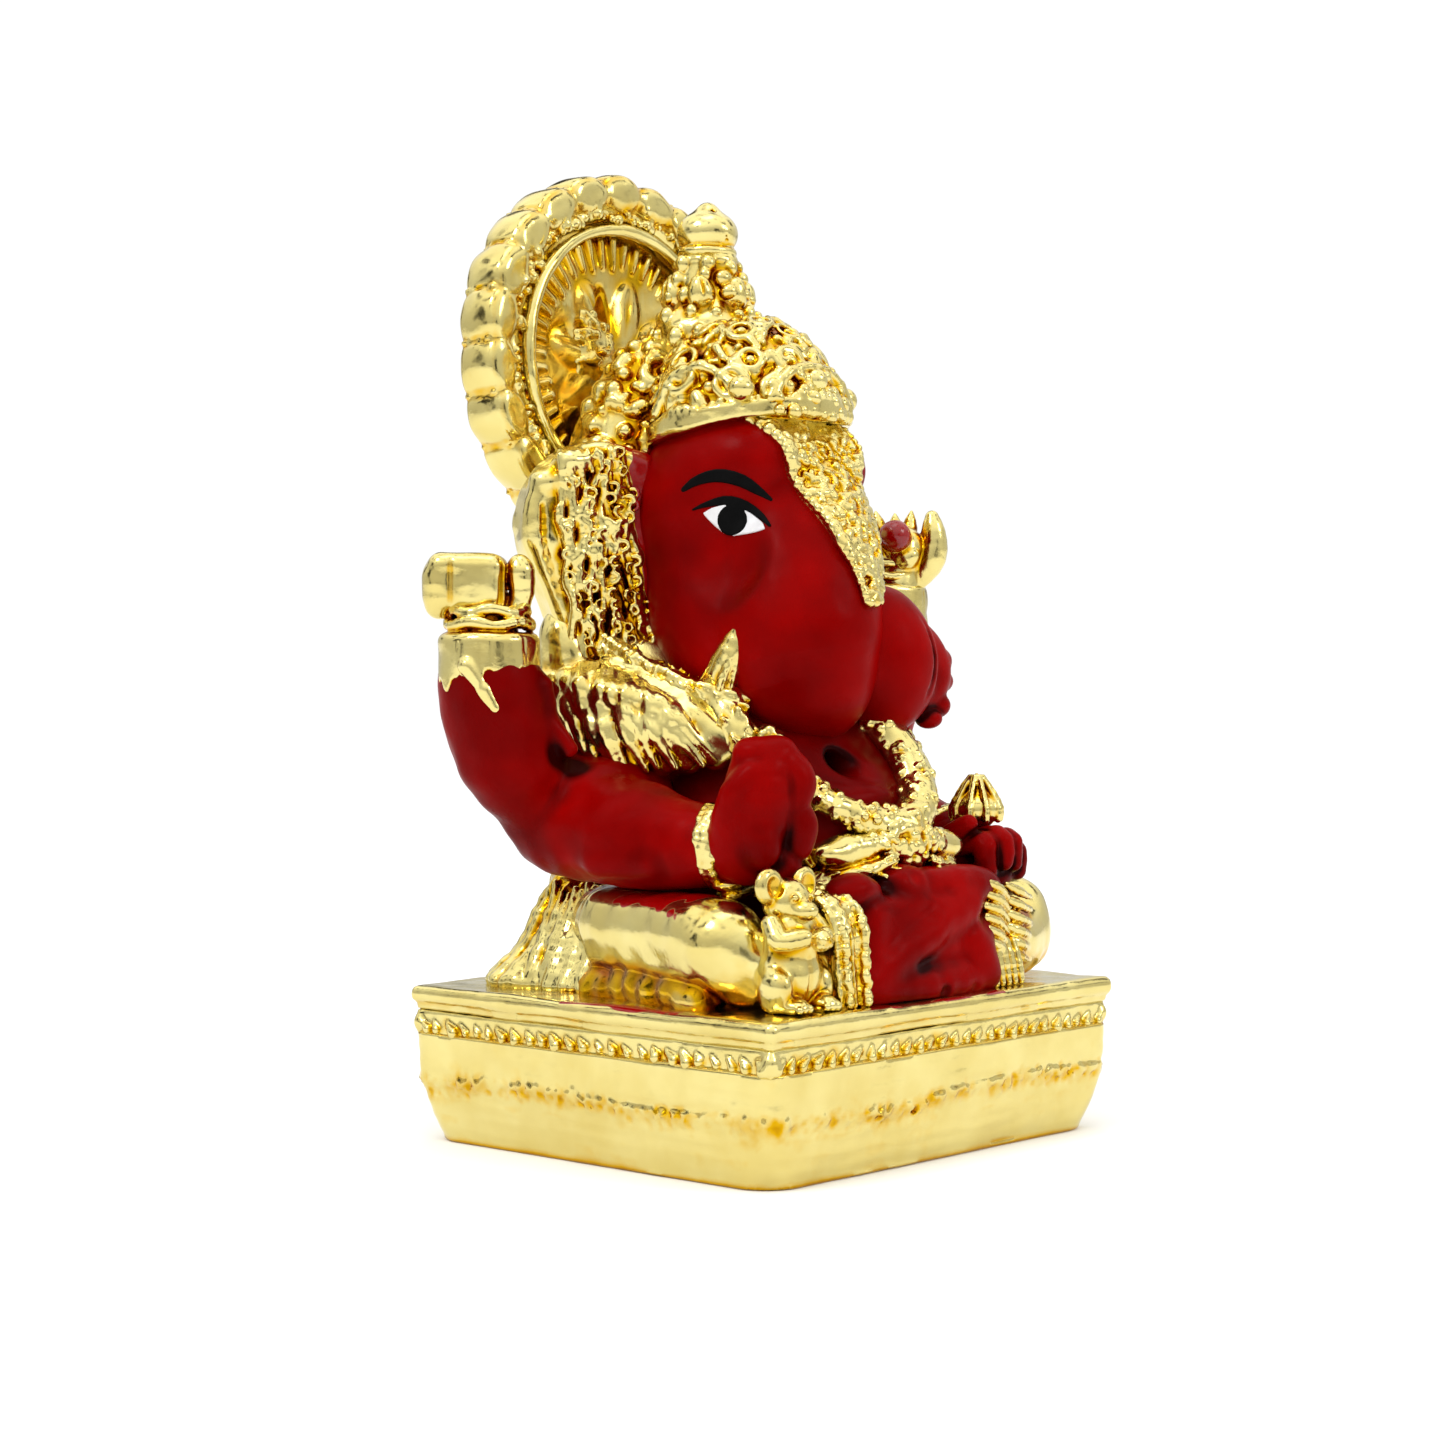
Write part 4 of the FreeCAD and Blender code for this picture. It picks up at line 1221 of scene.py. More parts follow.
def make_ear(side):
    """A hollowed ear covered with wavy strands and hooks, a knob above and a lappet below."""
    name = f"{SIDE_NAME[side]}_ear"
    root, out, back = ear_axes(side)
    clay = ear_block(name, root, out, back)

    def at(outward, backward, height):
        return root + out * outward + back * backward + np.array([0, 0, height])

    def path(points):
        return [(*at(*p), radius) for *p, radius in points]

    hollow = path([(1.4, -0.75, 35.2, 1.2), (2.0, -0.95, 32.5, 1.6), (1.7, -0.95, 29.5, 1.6),
                   (0.9, -0.7, 27, 1.1)])
    clay.carve(tube(hollow, 10), 0.7)

    def inner_edge(height):
        return np.interp(height, (25.5, 34.5), (-1.2, 0.6))

    rng = np.random.default_rng(81)
    for share in np.linspace(0.02, 1, 11):
        wig, phase = rng.uniform(0.14, 0.28), rng.uniform(0, 6)
        top = 36.7 - 1.5 * share ** 2
        bottom = 25.2 + 1.6 * share ** 1.7

        def strand(f):
            """How far outward and how high the strand is, at a share f of the way down it."""
            height = top + (bottom - top) * f
            middle = inner_edge(height) * (1 - share) + (4.5 - 0.9 * f) * share
            return middle + wig * math.sin(phase + 17 * f), height

        lock = []
        for f in np.linspace(0, 1, 13):
            outward, height = strand(f)
            place = at(outward, 0.5 - 0.3 * share + rng.uniform(-0.16, 0.1), height)
            lock.append((*place, rng.uniform(0.2, 0.33)))
        clay.add(tube(lock, 30), 0.06)
        for f in rng.uniform(0.02, 0.98, 9):
            outward, height = strand(f)
            start = np.array([outward + rng.uniform(-0.2, 0.2), 0.2 - 0.1 * share, height])
            hook = [start, start + (0.28, -0.12, 0.2), start + (0.2, -0.14, 0.5),
                    start + (-0.12, -0.05, 0.52)]
            flip = rng.choice((-1, 1))
            hook = [at(start[0] + flip * (h[0] - start[0]), h[1], h[2]) for h in hook]
            clay.add(tube([(*h, 0.14) for h in hook], 6), 0.04)
    knob = at(3.4, 0.6, 36.0)
    clay.add(egg(knob, (1.15, 0.9, 0.7)), 0.3)
    clay.add(egg(at(4.9, 1.0, 34.9), (0.8, 0.9, 0.7)), 0.3)
    for f in range(5):
        a, b = at(2.4 + 0.5 * f, 0.1, 36.7 - 0.1 * f), at(2.1 + 0.55 * f, 0.05, 35.7 - 0.2 * f)
        clay.add(rod(a, b, 0.16, 0.22), 0.08)
    clay.carve(tube(path([(5.3, 0.35, 33.6, 0.05), (5.15, 0.3, 31.4, 0.09), (4.4, 0.3, 29.0, 0.05)]), 8), 0.2)
    lappet = path([(3.3, 1.5, 27.4, 0.9), (3.1, 1.3, 25.6, 1.15), (2.4, 1.2, 24.6, 0.9)])
    clay.add(tube(lappet, 8), 0.5)
    clay.carve(tube(path([(3.0, 0.2, 27.0, 0.08), (2.6, 0.05, 25.6, 0.12), (1.9, 0.2, 24.6, 0.08)]), 7), 0.2)
    clay.swell(cast_skin(0.035, 0.05, 82))

    def paint(p):
        px, py = p[:, 0] - root[0], p[:, 1] - root[1]
        s, w = px * out[0] + py * out[1], px * back[0] + py * back[1]
        patch, fine = waves(1.6, 83)(p), waves(0.5, 84)(p)
        inner = np.clip((inner_edge(p[:, 2]) - 0.15 + 0.25 * patch + 0.1 * fine - s) / 0.15 + 0.5, 0, 1)
        low_spots = np.clip((inner_edge(p[:, 2]) + 1.0 + 0.8 * patch - s) / 0.3, 0, 1)
        low_spots = low_spots * np.clip((w - 0.42) / 0.1, 0, 1)
        return np.maximum(inner, low_spots) * (w < 1.6)

    gold(name, clay, paint=paint)


# ---- shoulders and chest --------------------------------------------------------------------
def make_shawl():
    """Feathered cape: broad strokes fan forward from each shoulder, and soft folds hang behind."""
    low, high = box("shawl")
    clay = Clay(low - 0.6, high + 0.4, COARSE)
    clay.add([egg((0, 3.9, 20.6), (9.2, 5.4, 3.9)), egg((0, 4.6, 22.8), (9.0, 4.8, 4.4)),
              egg((0, 5.2, 24.6), (8.8, 4.1, 3.6))], 1.0)
    rng = np.random.default_rng(91)
    shares = (0.0, 0.25, 0.5, 0.75, 1.0)
    starts = np.array([(9.2, 6.9, 25.6), (9.0, 5.2, 25.4), (8.7, 3.4, 25.2), (8.3, 1.8, 24.7),
                       (7.6, 0.4, 23.9)])
    tips = np.array([(9.7, 4.6, 20.4), (9.9, 2.9, 19.9), (9.5, 1.2, 19.8), (8.5, -0.9, 20.0),
                     (7.1, -2.9, 20.4)])
    for side in SIDES:
        flip = np.array([side, 1, 1])
        for reach, count, lift in ((1.0, 13, 0.0), (0.72, 13, 0.22), (0.46, 12, 0.4)):
            for i in range(count):
                f = np.clip((i + 0.5 * (count % 2) + rng.uniform(-0.25, 0.25)) / (count - 0.5), 0, 1)
                start = np.array([np.interp(f, shares, starts[:, k]) for k in range(3)])
                tip = np.array([np.interp(f, shares, tips[:, k]) for k in range(3)])
                tip = start + (tip - start) * reach * rng.uniform(0.92, 1.06)
                belly = start * 0.45 + tip * 0.55 + (0.75 + lift, -0.35, 0.15) + rng.uniform(-0.2, 0.2, 3)
                start, tip = start + (lift, 0, 0), tip + (lift * 0.8, -0.1, 0)
                under = [start - (0.9, 0, 0), belly - (1.15, 0, 0), tip - (1.1, 0, -0.5)]
                if reach == 1.0:
                    clay.add(tube([(*(p * flip), 0.8) for p in under], 8), 0.3)
                clay.add(tube([(*(start * flip), 0.26), (*(belly * flip), 0.44), (*(tip * flip), 0.13)],
                              10), 0.03)
                vein = belly * 0.6 + tip * 0.4 + (0.3, -0.15, 0)
                clay.add(tube([(*(belly * flip + (side * 0.3, 0, 0)), 0.16), (*(vein * flip), 0.18),
                               (*(tip * flip), 0.1)], 5), 0.04)
        lappet = on_side(side, [(9.2, 6.2, 27.4, 1.0), (9.2, 6.0, 25.8, 1.2), (9.0, 5.8, 24.2, 1.0)])
        clay.add(tube(lappet, 8), 0.4)
    for i in range(23):
        turn = math.pi * (0.05 + 0.9 * (i + rng.uniform(-0.3, 0.3)) / 22)
        sway = rng.uniform(-0.05, 0.05, 4)
        fold = [((w + 0.2) * math.cos(turn + s), y + d * math.sin(turn + s), z, t) for (w, y, d, z, t), s in
                zip(((8.2, 5.4, 3.5, 27.4, 0.28), (8.8, 5.2, 4.0, 24.6, 0.4), (9.0, 4.4, 4.9, 21.6, 0.42),
                     (8.6, 4.0, 4.6, 18.4, 0.3)), sway)]
        clay.add(tube(fold, 10), 0.35)
    clay.swell(lambda p: cast_skin(0.05, 0.07, 92)(p) + 0.05 * waves(2.4, 93)(p))
    gold("shawl", clay)


def make_collar():
    """The fluffy edge that runs along the jaw and down to a tongue over the chest."""
    low, high = box("collar")
    clay = Clay((low[0] - 0.8, -5.8, 18.8), (high[0] + 0.8, high[1], high[2] + 1.1), MEDIUM)
    rng = np.random.default_rng(95)
    jaw = [(7.7, 4.6, 26.3, 0.55), (7.4, 2.4, 25.2, 0.65), (6.9, 0.4, 24.3, 0.75), (6.3, -1.3, 23.7, 0.75),
           (5.5, -2.7, 23.3, 0.7)]
    under = [(7.9, 3.6, 24.6, 0.6), (7.5, 1.6, 23.6, 0.7), (6.9, -0.2, 22.8, 0.7), (6.2, -1.6, 22.3, 0.6)]
    tongue = [(6.0, -2.2, 23.0, 0.75), (5.8, -3.1, 21.9, 0.9), (5.6, -3.8, 20.7, 0.65),
              (5.4, -4.3, 19.7, 0.3)]
    for side in SIDES:
        for path, count, flow in ((jaw, 170, (side * -0.5, -0.6, -0.9)),
                                  (under, 120, (side * -0.3, -0.8, -0.6)),
                                  (tongue, 130, (side * -0.1, -0.2, -1.0))):
            flipped = on_side(side, path)
            clay.add(tube(flipped, 9), 0.3)
            tufts(clay, flipped, count, rng, flow, 0.8, 0.18, 1.05)
        for p in curve(on_side(side, jaw), 26):
            clay.add(ball(p[:3] + (side * 0.35, -0.35, 0.45), rng.uniform(0.22, 0.34)), 0.04)
    clay.add(ring((0, 2.4, 23.6), (0, 0, 1), 5.0, 1.5), 0.4)
    gold("collar", clay, skin=(0.05, 0.05, 96))


def make_torso():
    low, high = box("torso")
    clay = Clay(low, high, COARSE)
    clay.add([egg((0, -0.6, 16.2), (7.2, 8.1, 6.6)), egg((0, -0.2, 20.6), (6.0, 5.6, 3.6)),
              egg((0, 0.4, 10.6), (8.2, 7.4, 4.2))], 1.5)
    clay.carve(egg((0.5, -7.9, 21.9), (6.5, 1.9, 1.3)), 0.8)
    clay.carve(rod((-1.2, -8.4, 20.5), (-1.9, -4.6, 19.9), 0.85, 0.6), 0.45)
    clay.add(tube([(-4.6, -5.4, 18.9, 0.35), (-2.6, -7.2, 18.3, 0.4), (0.2, -8.0, 18.4, 0.35)], 8), 0.8)
    clay.above(TOP - 0.2)
    # Painted shade: the whole torso is darkened, as the chest sits in shadow under the trunk
    red("torso", clay, skin=(0.03, 0.09, 101), shade=0.2)


def beaded(clay, path, count, rng, share=0.95, small=0.17, large=0.34):
    """Covers a tube's surface with grains."""
    for p in curve(path, count):
        way = unit_of(rng.normal(size=3))
        clay.add(ball(p[:3] + way * p[3] * share, rng.uniform(small, large)), 0.04)


def make_chest_jewels():
    rng = np.random.default_rng(105)
    for make in (make_garland, make_rosette, make_girdle):
        make(rng)


def make_garland(rng):
    """A beaded rope that hangs in a loop under the trunk."""
    low, high = box("garland")
    clay = Clay(low - (0.6, 0.9, 0.6), high + (0.6, 0.6, 0.3), FINE, 0.3)
    far = [(2.0, -5.2, 22.9, 0.8), (3.0, -6.4, 21.2, 1.0), (3.0, -7.7, 19.5, 1.1), (2.0, -8.9, 17.9, 1.05),
           (0.2, -9.5, 17.0, 0.9)]
    near = [(-4.9, -4.6, 21.6, 0.5), (-5.2, -6.3, 19.8, 0.6), (-4.0, -7.9, 18.2, 0.7),
            (-1.8, -9.0, 17.2, 0.85), (0.2, -9.5, 16.9, 0.9)]
    for path in (far, near):
        clay.add(tube(path, 12), 0.2)
        beaded(clay, path, 280, rng)
    gold("garland", clay, skin=(0.04, 0.03, 106))


def make_rosette(rng):
    low, high = box("girdle_rosette")
    c = (low + high) / 2
    knot = Clay(low - 0.5, high + 0.5, FINE, 0.3)
    knot.add(egg(c + (0.3, 0.2, -0.2), (2.2, 0.8, 1.2)))
    for _ in range(70):
        a = rng.uniform(0, 2 * math.pi)
        r = math.sqrt(rng.uniform(0, 1))
        at = c + (0.3 + 2.2 * r * math.cos(a), -0.1 - 0.55 * (1 - r * r), -0.2 + 1.3 * r * math.sin(a))
        knot.add(ball(at, rng.uniform(0.18, 0.36)), 0.04)
    gold("girdle_rosette", knot, skin=(0.03, 0.03, 107))


def make_girdle(rng):
    """Two cords on each side that meet in front, the upper beaded and the lower frayed."""
    low, high = box("girdle")
    belt = Clay(low - (0.6, 1.3, 1.4), high + (0.6, 0.4, 0.9), FINE, 0.3)
    for side in SIDES:
        upper = on_side(side, [(7.3, -3.0, 15.0, 0.5), (6.0, -6.6, 15.4, 0.6), (3.6, -9.0, 15.9, 0.6),
                               (1.4, -9.9, 16.2, 0.4)])
        lower = on_side(side, [(7.2, -3.6, 13.8, 0.4), (6.2, -7.0, 14.1, 0.45), (4.0, -9.3, 14.6, 0.5),
                               (1.6, -10.3, 15.2, 0.25)])
        belt.add(tube(upper, 10), 0.25)
        belt.add(egg((side * 2.9, -8.7, 15.7), (3.0, 1.1, 1.0)), 0.3)
        beaded(belt, upper, 150, rng)
        belt.add(tube(lower, 10), 0.12)
        tufts(belt, lower, 60, rng, (side * -0.8, -0.6, 0.2), 1.1, 0.17)
    gold("girdle", belt, skin=(0.04, 0.04, 108))


# ---- arms -----------------------------------------------------------------------------------
def make_arms(side):
    """One shoulder's two arms, as the single painted mass that they are cast in."""
    name = SIDE_NAME[side]
    cuff_low, cuff_high = box(f"{name}_rear_cuff")
    cuff = (cuff_low + cuff_high) / 2
    elbow_y = 5.6 if side < 0 else 4.7
    elbow_x = side * (13.9 if side < 0 else 13.0)
    wrist = mid(f"{name}_front_bracelet")
    recipe = [
        (tube([(side * 6.8, 4.0, 18.4, 2.3), (side * 9.4, 4.6, 18.3, 2.35),
               (side * 11.8, elbow_y - 0.2, 18.7, 2.3), (elbow_x, elbow_y, 20.4, 2.3)], 10), 0.5),
        (tube([(elbow_x, elbow_y, 20.4, 2.3), ((elbow_x + cuff[0]) / 2, (elbow_y + cuff[1]) / 2, 22.6, 2.6),
               (cuff[0], cuff[1], cuff_low[2] + 0.6, 2.45)], 9), 0.5),
        (tube(on_side(side, [(8.0, 1.8, 18.6, 1.9), (9.6, 2.8, 17.9, 2.15), (10.3, 2.8, 16.6, 2.35)]), 8),
         0.9),
        (tube([(side * 10.3, 2.8, 16.5, 2.4), (side * 10.3, -0.2, 16.6, 2.45),
               (wrist[0] + side * 0.1, wrist[1] + 1.8, wrist[2] + 0.1, 2.1),
               (wrist[0], wrist[1], wrist[2] + 0.1, 1.7)], 10), 0.7),
        (egg((side * 11.0, 4.6, 16.8), (2.0, 2.9, 2.2)), 1.2),
    ]
    parts = [f"{name}_{part}" for part in ("rear_arm", "rear_forearm", "front_arm", "front_forearm")]
    low, high = around(*parts)
    clay = mould(recipe, low - 0.3, high + 0.3, MEDIUM)
    bulges = [((12.8, 3.4, 22.4), (12.2, 2.6, 21.0), 0.5), ((13.1, 3.4, 24.2), (12.9, 3.4, 23.4), 0.4),
              ((15.6, 4.8, 20.8), (14.0, 3.6, 19.5), 0.4), ((9.9, -1.8, 18.5), (9.9, 1.0, 18.7), 0.4),
              ((12.3, 0.6, 15.2), (12.0, -3.0, 15.2), 0.45), ((9.0, 2.2, 19.6), (10.6, 3.2, 19.6), 0.4)]
    for a, b, thick in bulges:
        clay.add(rod(np.array(a) * (side, 1, 1), np.array(b) * (side, 1, 1), thick, thick * 0.9), 0.8)
    red(f"{name}_arms", clay, *parts, skin=(0.035, 0.12, 111 + side))


def make_cuff(side):
    """The gilt wrist, its bead bangle, and the tail of gilding that runs down over the enamel."""
    name = SIDE_NAME[side]
    low, high = box(f"{name}_rear_cuff")
    c = (low + high) / 2
    top = high[2] - 1.15
    clay = Clay((low[0], low[1], low[2] - 2.6), (high[0], high[1], high[2] + 0.5), FINE)
    clay.add(puck((c[0], c[1], (low[2] - 1.5 + top) / 2), 2.6, (top - low[2] + 1.5) / 2, 0.5))
    view = math.atan2(NEAR[1], -side * NEAR[0])
    jag = waves(1.1, 120)

    def hem(x, y, z):
        turn = np.arctan2(y - c[1], x - c[0]) - view
        turn = (turn + np.pi) % (2 * np.pi) - np.pi
        level = (low[2] + 0.25 + 0.3 * np.sin(2 * turn + 0.6) + 0.22 * np.sin(9 * turn)
                 + 0.16 * np.sin(17 * turn + 1))
        return (level - z) * 0.8

    clay.keep(hem, 0.05)
    out = np.array([math.cos(view), math.sin(view), 0])
    across = np.array([-out[1], out[0], 0]) * -side
    tail = [c * (1, 1, 0) + out * 2.35 + across * s + np.array([0, 0, z]) for s, z in
            ((-0.9, low[2] + 0.8), (0.0, low[2] - 0.4), (0.5, low[2] - 1.3))]
    clay.add([rod(a, b, 0.42, 0.36) for a, b in zip(tail[:-1], tail[1:])], 0.12)
    for turn, upto in ((-0.55, top - 0.5), (0.12, top - 0.1), (0.85, top - 0.4)):
        way = np.array([math.cos(view + turn), math.sin(view + turn), 0])
        clay.carve(rod(c * (1, 1, 0) + way * 2.68 + (0, 0, low[2] + 0.8),
                       c * (1, 1, 0) + way * 2.62 + (0, 0, upto), 0.04, 0.07), 0.12)
    rng = np.random.default_rng(121)
    clay.add(puck((c[0], c[1], high[2] - 0.7), 1.5, 0.9, 0.1))
    for level, radius, thick in ((0.72, 2.05, 0.33), (0.1, 1.85, 0.33)):
        for a in turns(44):
            wave = 0.1 * math.sin(5 * a + level * 4)
            at = (c[0] + radius * math.cos(a), c[1] + radius * math.sin(a), high[2] - level + wave)
            clay.add(ball(at, thick * rng.uniform(0.9, 1.12)), 0.1)
    clay.swell(lambda p: cast_skin(0.03, 0.06, 122)(p) + 0.02 * jag(p))
    gold(f"{name}_rear_cuff", clay)


def make_right_rear_hand():
    """Cupped fingers and an upright thumb, with the knuckles rounded over."""
    low, high = box("right_rear_hand")
    c = (low + high) / 2
    palm = np.array([c[0], c[1], high[2] - 1.85])
    clay = Clay(low - 0.3, high + (0.5, 0.3, 0.1), FINE)
    turn = np.column_stack([ACROSS, np.cross([0, 0, 1], ACROSS), [0, 0, 1]])
    clay.add(rod((c[0], c[1], low[2] - 0.2), palm - (0, 0, 1.0), 1.5, 1.4))
    clay.add(brick(palm + (0, 0, 0.25) - ACROSS * 0.75, (2.0, 1.55, 1.5), 0.75, turn), 0.4)
    for shift in (-1.95, -0.65):
        knuckle = palm - ACROSS * 0.2 + ACROSS * shift + NEAR * 0.55
        clay.add(tube([(*(knuckle - (0, 0, 0.9)), 0.75), (*(knuckle + (0, 0, 0.35)), 0.88),
                       (*(knuckle + (0, 0, 1.05) - NEAR * 0.4), 0.62)], 6), 0.2)
    groove = palm - ACROSS * 1.5 + NEAR * 1.55
    clay.carve(rod(groove - (0, 0, 1.3), groove + (0, 0, 1.6), 0.06, 0.1), 0.22)
    thumb = palm + ACROSS * 2.0 + NEAR * 0.35
    clay.carve(rod(thumb - ACROSS * 0.95 + NEAR * 0.9 - (0, 0, 1.4),
                   thumb - ACROSS * 0.95 + NEAR * 0.8 + (0, 0, 1.8), 0.14, 0.16), 0.15)
    clay.add(tube([(*(thumb - ACROSS * 0.6 - (0, 0, 1.7)), 0.55), (*(thumb - (0, 0, 0.6)), 0.6),
                   (*(thumb + (0, 0, 0.7)), 0.72), (*(thumb - ACROSS * 0.1 + (0, 0, 1.2)), 0.5)], 8), 0.08)
    clay.carve(egg(palm + (0, 0, 1.75) - ACROSS * 0.5, (1.2, 0.6, 0.55), turn), 0.25)
    clay.carve(rod(palm - ACROSS * 2.4 + NEAR * 1.5 - (0, 0, 1.35),
                   palm + ACROSS * 1.4 + NEAR * 1.7 - (0, 0, 1.25), 0.16, 0.16), 0.2)
    gold("right_rear_hand", clay, skin=(0.025, 0.06, 131))


def make_left_rear_hand():
    """Petals round a red bud, with one tall finger beside them."""
    low, high = box("left_rear_hand")
    c = (low + high) / 2
    clay = Clay(low - (0.8, 1.6, 0.3), high + (1.4, 0.8, 0.8), FINE)
    heart = c + ACROSS * (7.9 - c @ ACROSS)
    heart[2] = high[2] - 2.2
    clay.add(rod((c[0], c[1], low[2] - 0.2), heart - (0, 0, 1.0), 1.45, 1.2))
    clay.add(egg(heart, grey(1.5)), 0.5)
    bud = heart + NEAR * 1.35 - ACROSS * 0.35 + (0, 0, 0.75)
    clay.add(ball(bud, 0.92), 0.02)
    finger = [(1.0, -1.7, 0.7), (1.75, -0.6, 0.9), (1.95, 0.7, 0.8), (1.85, 1.9, 0.45)]
    clay.add(tube([(*(heart + ACROSS * s + (0, 0, z)), r) for s, z, r in finger], 9), 0.15)
    for s, z, lean, depth in ((-1.7, 1.5, -0.4, 0.2), (-1.2, 2.2, -0.2, -0.5), (-0.3, 2.1, 0.0, 0.1),
                              (0.6, 2.3, 0.1, -0.4), (-1.9, 0.4, -0.5, 0.6), (0.5, -0.2, 0.2, 1.0)):
        root = heart + ACROSS * s * 0.6 + NEAR * depth - (0, 0, 0.6)
        end = heart + ACROSS * (s + lean) + NEAR * depth + (0, 0, z)
        clay.add(tube([(*root, 0.65), (*(root * 0.35 + end * 0.65), 0.5), (*end, 0.13)], 7), 0.08)
    clay.swell(cast_skin(0.025, 0.06, 132))

    def paint(p):
        return np.clip((1.05 - np.linalg.norm(p - bud, axis=1)) / 0.12, 0, 1)

    gold("left_rear_hand", clay, paint=paint)


def make_right_front_hand():
    """The blessing hand: a flat-topped palm with the thumb and curled fingers along its far edge."""
    low, high = box("right_front_hand")
    clay = Clay(low - 0.3, high + (0.5, 0.3, 0.4), MEDIUM)
    clay.add(tube([(-9.7, -5.4, 16.1, 1.7), (-9.5, -7.0, 16.4, 2.05), (-9.5, -7.9, 18.2, 2.0),
                   (-9.5, -8.1, 19.6, 1.75), (-9.4, -8.2, 20.3, 1.4)], 10))
    clay.add(egg((-10.0, -8.0, 20.9), (1.1, 1.1, 0.9)), 0.3)
    clay.add(egg((-9.0, -8.7, 20.9), (0.95, 1.0, 0.85)), 0.3)
    lobes = [((-8.6, -9.0, 20.3), (-8.3, -9.5, 19.5), (-8.5, -9.6, 18.5), 0.82),
             ((-8.6, -8.9, 18.1), (-8.1, -9.4, 17.4), (-8.2, -9.4, 16.3), 0.9),
             ((-9.0, -8.6, 16.0), (-8.6, -8.9, 15.2), (-8.9, -8.6, 14.8), 0.75)]
    for a, b, c, thick in lobes:
        clay.add(tube([(*a, thick), (*b, thick), (*c, thick * 0.85)], 7), 0.3)
    clay.add(tube([(-10.7, -7.0, 17.2, 0.8), (-11.0, -7.8, 18.9, 0.75), (-10.6, -8.6, 20.0, 0.6)], 7), 0.3)
    clay.add(egg((-10.2, -8.9, 16.4), (0.9, 1.0, 1.2)), 0.5)
    creases = [[(-9.5, -10.5, 20.6, 0.06), (-9.4, -10.5, 19.2, 0.12), (-9.4, -10.5, 17.4, 0.14),
                (-9.8, -10.3, 15.8, 0.06)],
               [(-9.2, -10.6, 18.0, 0.06), (-8.4, -10.7, 18.1, 0.1), (-7.6, -10.5, 18.0, 0.06)]]
    for crease in creases:
        clay.carve(tube(crease, 8), 0.4)
    red("right_front_hand", clay, skin=(0.03, 0.1, 141))


def make_left_front_hand():
    low, high = box("left_front_hand")
    clay = Clay(low - 0.3, high + 0.3, MEDIUM)
    clay.add(tube([(9.8, -5.2, 15.4, 1.8), (9.4, -7.2, 15.0, 1.8), (9.0, -8.4, 15.1, 1.4)], 8))
    for x, z, reach in ((7.4, 15.9, -9.4), (8.4, 16.2, -9.7), (9.4, 16.1, -9.6), (10.3, 15.6, -9.2)):
        clay.add(tube([(x + 0.2, -7.9, z - 0.4, 0.66), (x + 0.1, reach + 0.3, z - 0.3, 0.68),
                       (x, reach, z - 1.5, 0.58)], 6), 0.16)
    clay.add(tube([(7.0, -7.2, 15.9, 0.6), (7.1, -8.4, 16.7, 0.5)], 4), 0.2)
    clay.add(egg((8.9, -8.2, 13.9), (1.6, 1.5, 1.0)), 0.3)
    clay.add(egg((7.6, -8.9, 14.1), grey(0.8)), 0.3)
    red("left_front_hand", clay, skin=(0.04, 0.1, 142))


def make_bracelet(side):
    name = f"{SIDE_NAME[side]}_front_bracelet"
    low, high = box(name)
    c = (low + high) / 2 + (side * -0.25, -0.3, 0)
    r = (high - low)[2] / 2 - 0.42
    axis = unit_of((side * -0.42, -0.9, 0.1))
    across = unit_of(np.cross(axis, [0, 0, 1.0]))
    up = np.cross(across, axis)
    clay = Clay(low - (0.4, 1.6, 0.4), high + (0.4, 1.3, 0.4), FINE, 0.3)
    clay.add([ring(c, axis, r, 0.3), ring(c - axis * 0.45, axis, r - 0.05, 0.26)], 0.1)
    rng = np.random.default_rng(145)
    for a in turns(30):
        at = c + across * r * math.cos(a) + up * r * math.sin(a) + axis * rng.uniform(-0.2, 0.2)
        clay.add(ball(at, rng.uniform(0.26, 0.38)), 0.08)
        clay.add(ball(at - axis * 0.42 + (0, 0, 0.1), rng.uniform(0.2, 0.3)), 0.14)
    flare = c - up * r * 0.95 + across * -side * 0.6 + axis * 0.4
    clay.add(egg(flare, (0.95, 0.9, 0.45)), 0.15)
    clay.add(egg(flare - up * 0.5 + axis * 0.2, (0.6, 0.6, 0.4)), 0.15)
    gold(name, clay, skin=(0.03, 0.04, 146))


def make_modak():
    low, high = box("modak")
    c = (low + high) / 2
    clay = Clay(low - 0.2, high + 0.4, FINE, 0.3)
    clay.add(egg((c[0], c[1], low[2] + 0.9), (1.35, 1.35, 1.0)))
    clay.add(rod((c[0], c[1], low[2] + 1.3), (c[0], c[1], high[2] - 0.2), 0.95, 0.16), 0.5)
    for a in turns(9):
        rib = [(c[0] + r * math.cos(a), c[1] + r * math.sin(a), low[2] + h, 0.2)
               for r, h in ((1.3, 0.4), (1.35, 1.0), (0.95, 1.8), (0.35, 2.7))]
        clay.add(tube(rib, 7), 0.06)
    gold("modak", clay, skin=(0.02, 0.03, 151))


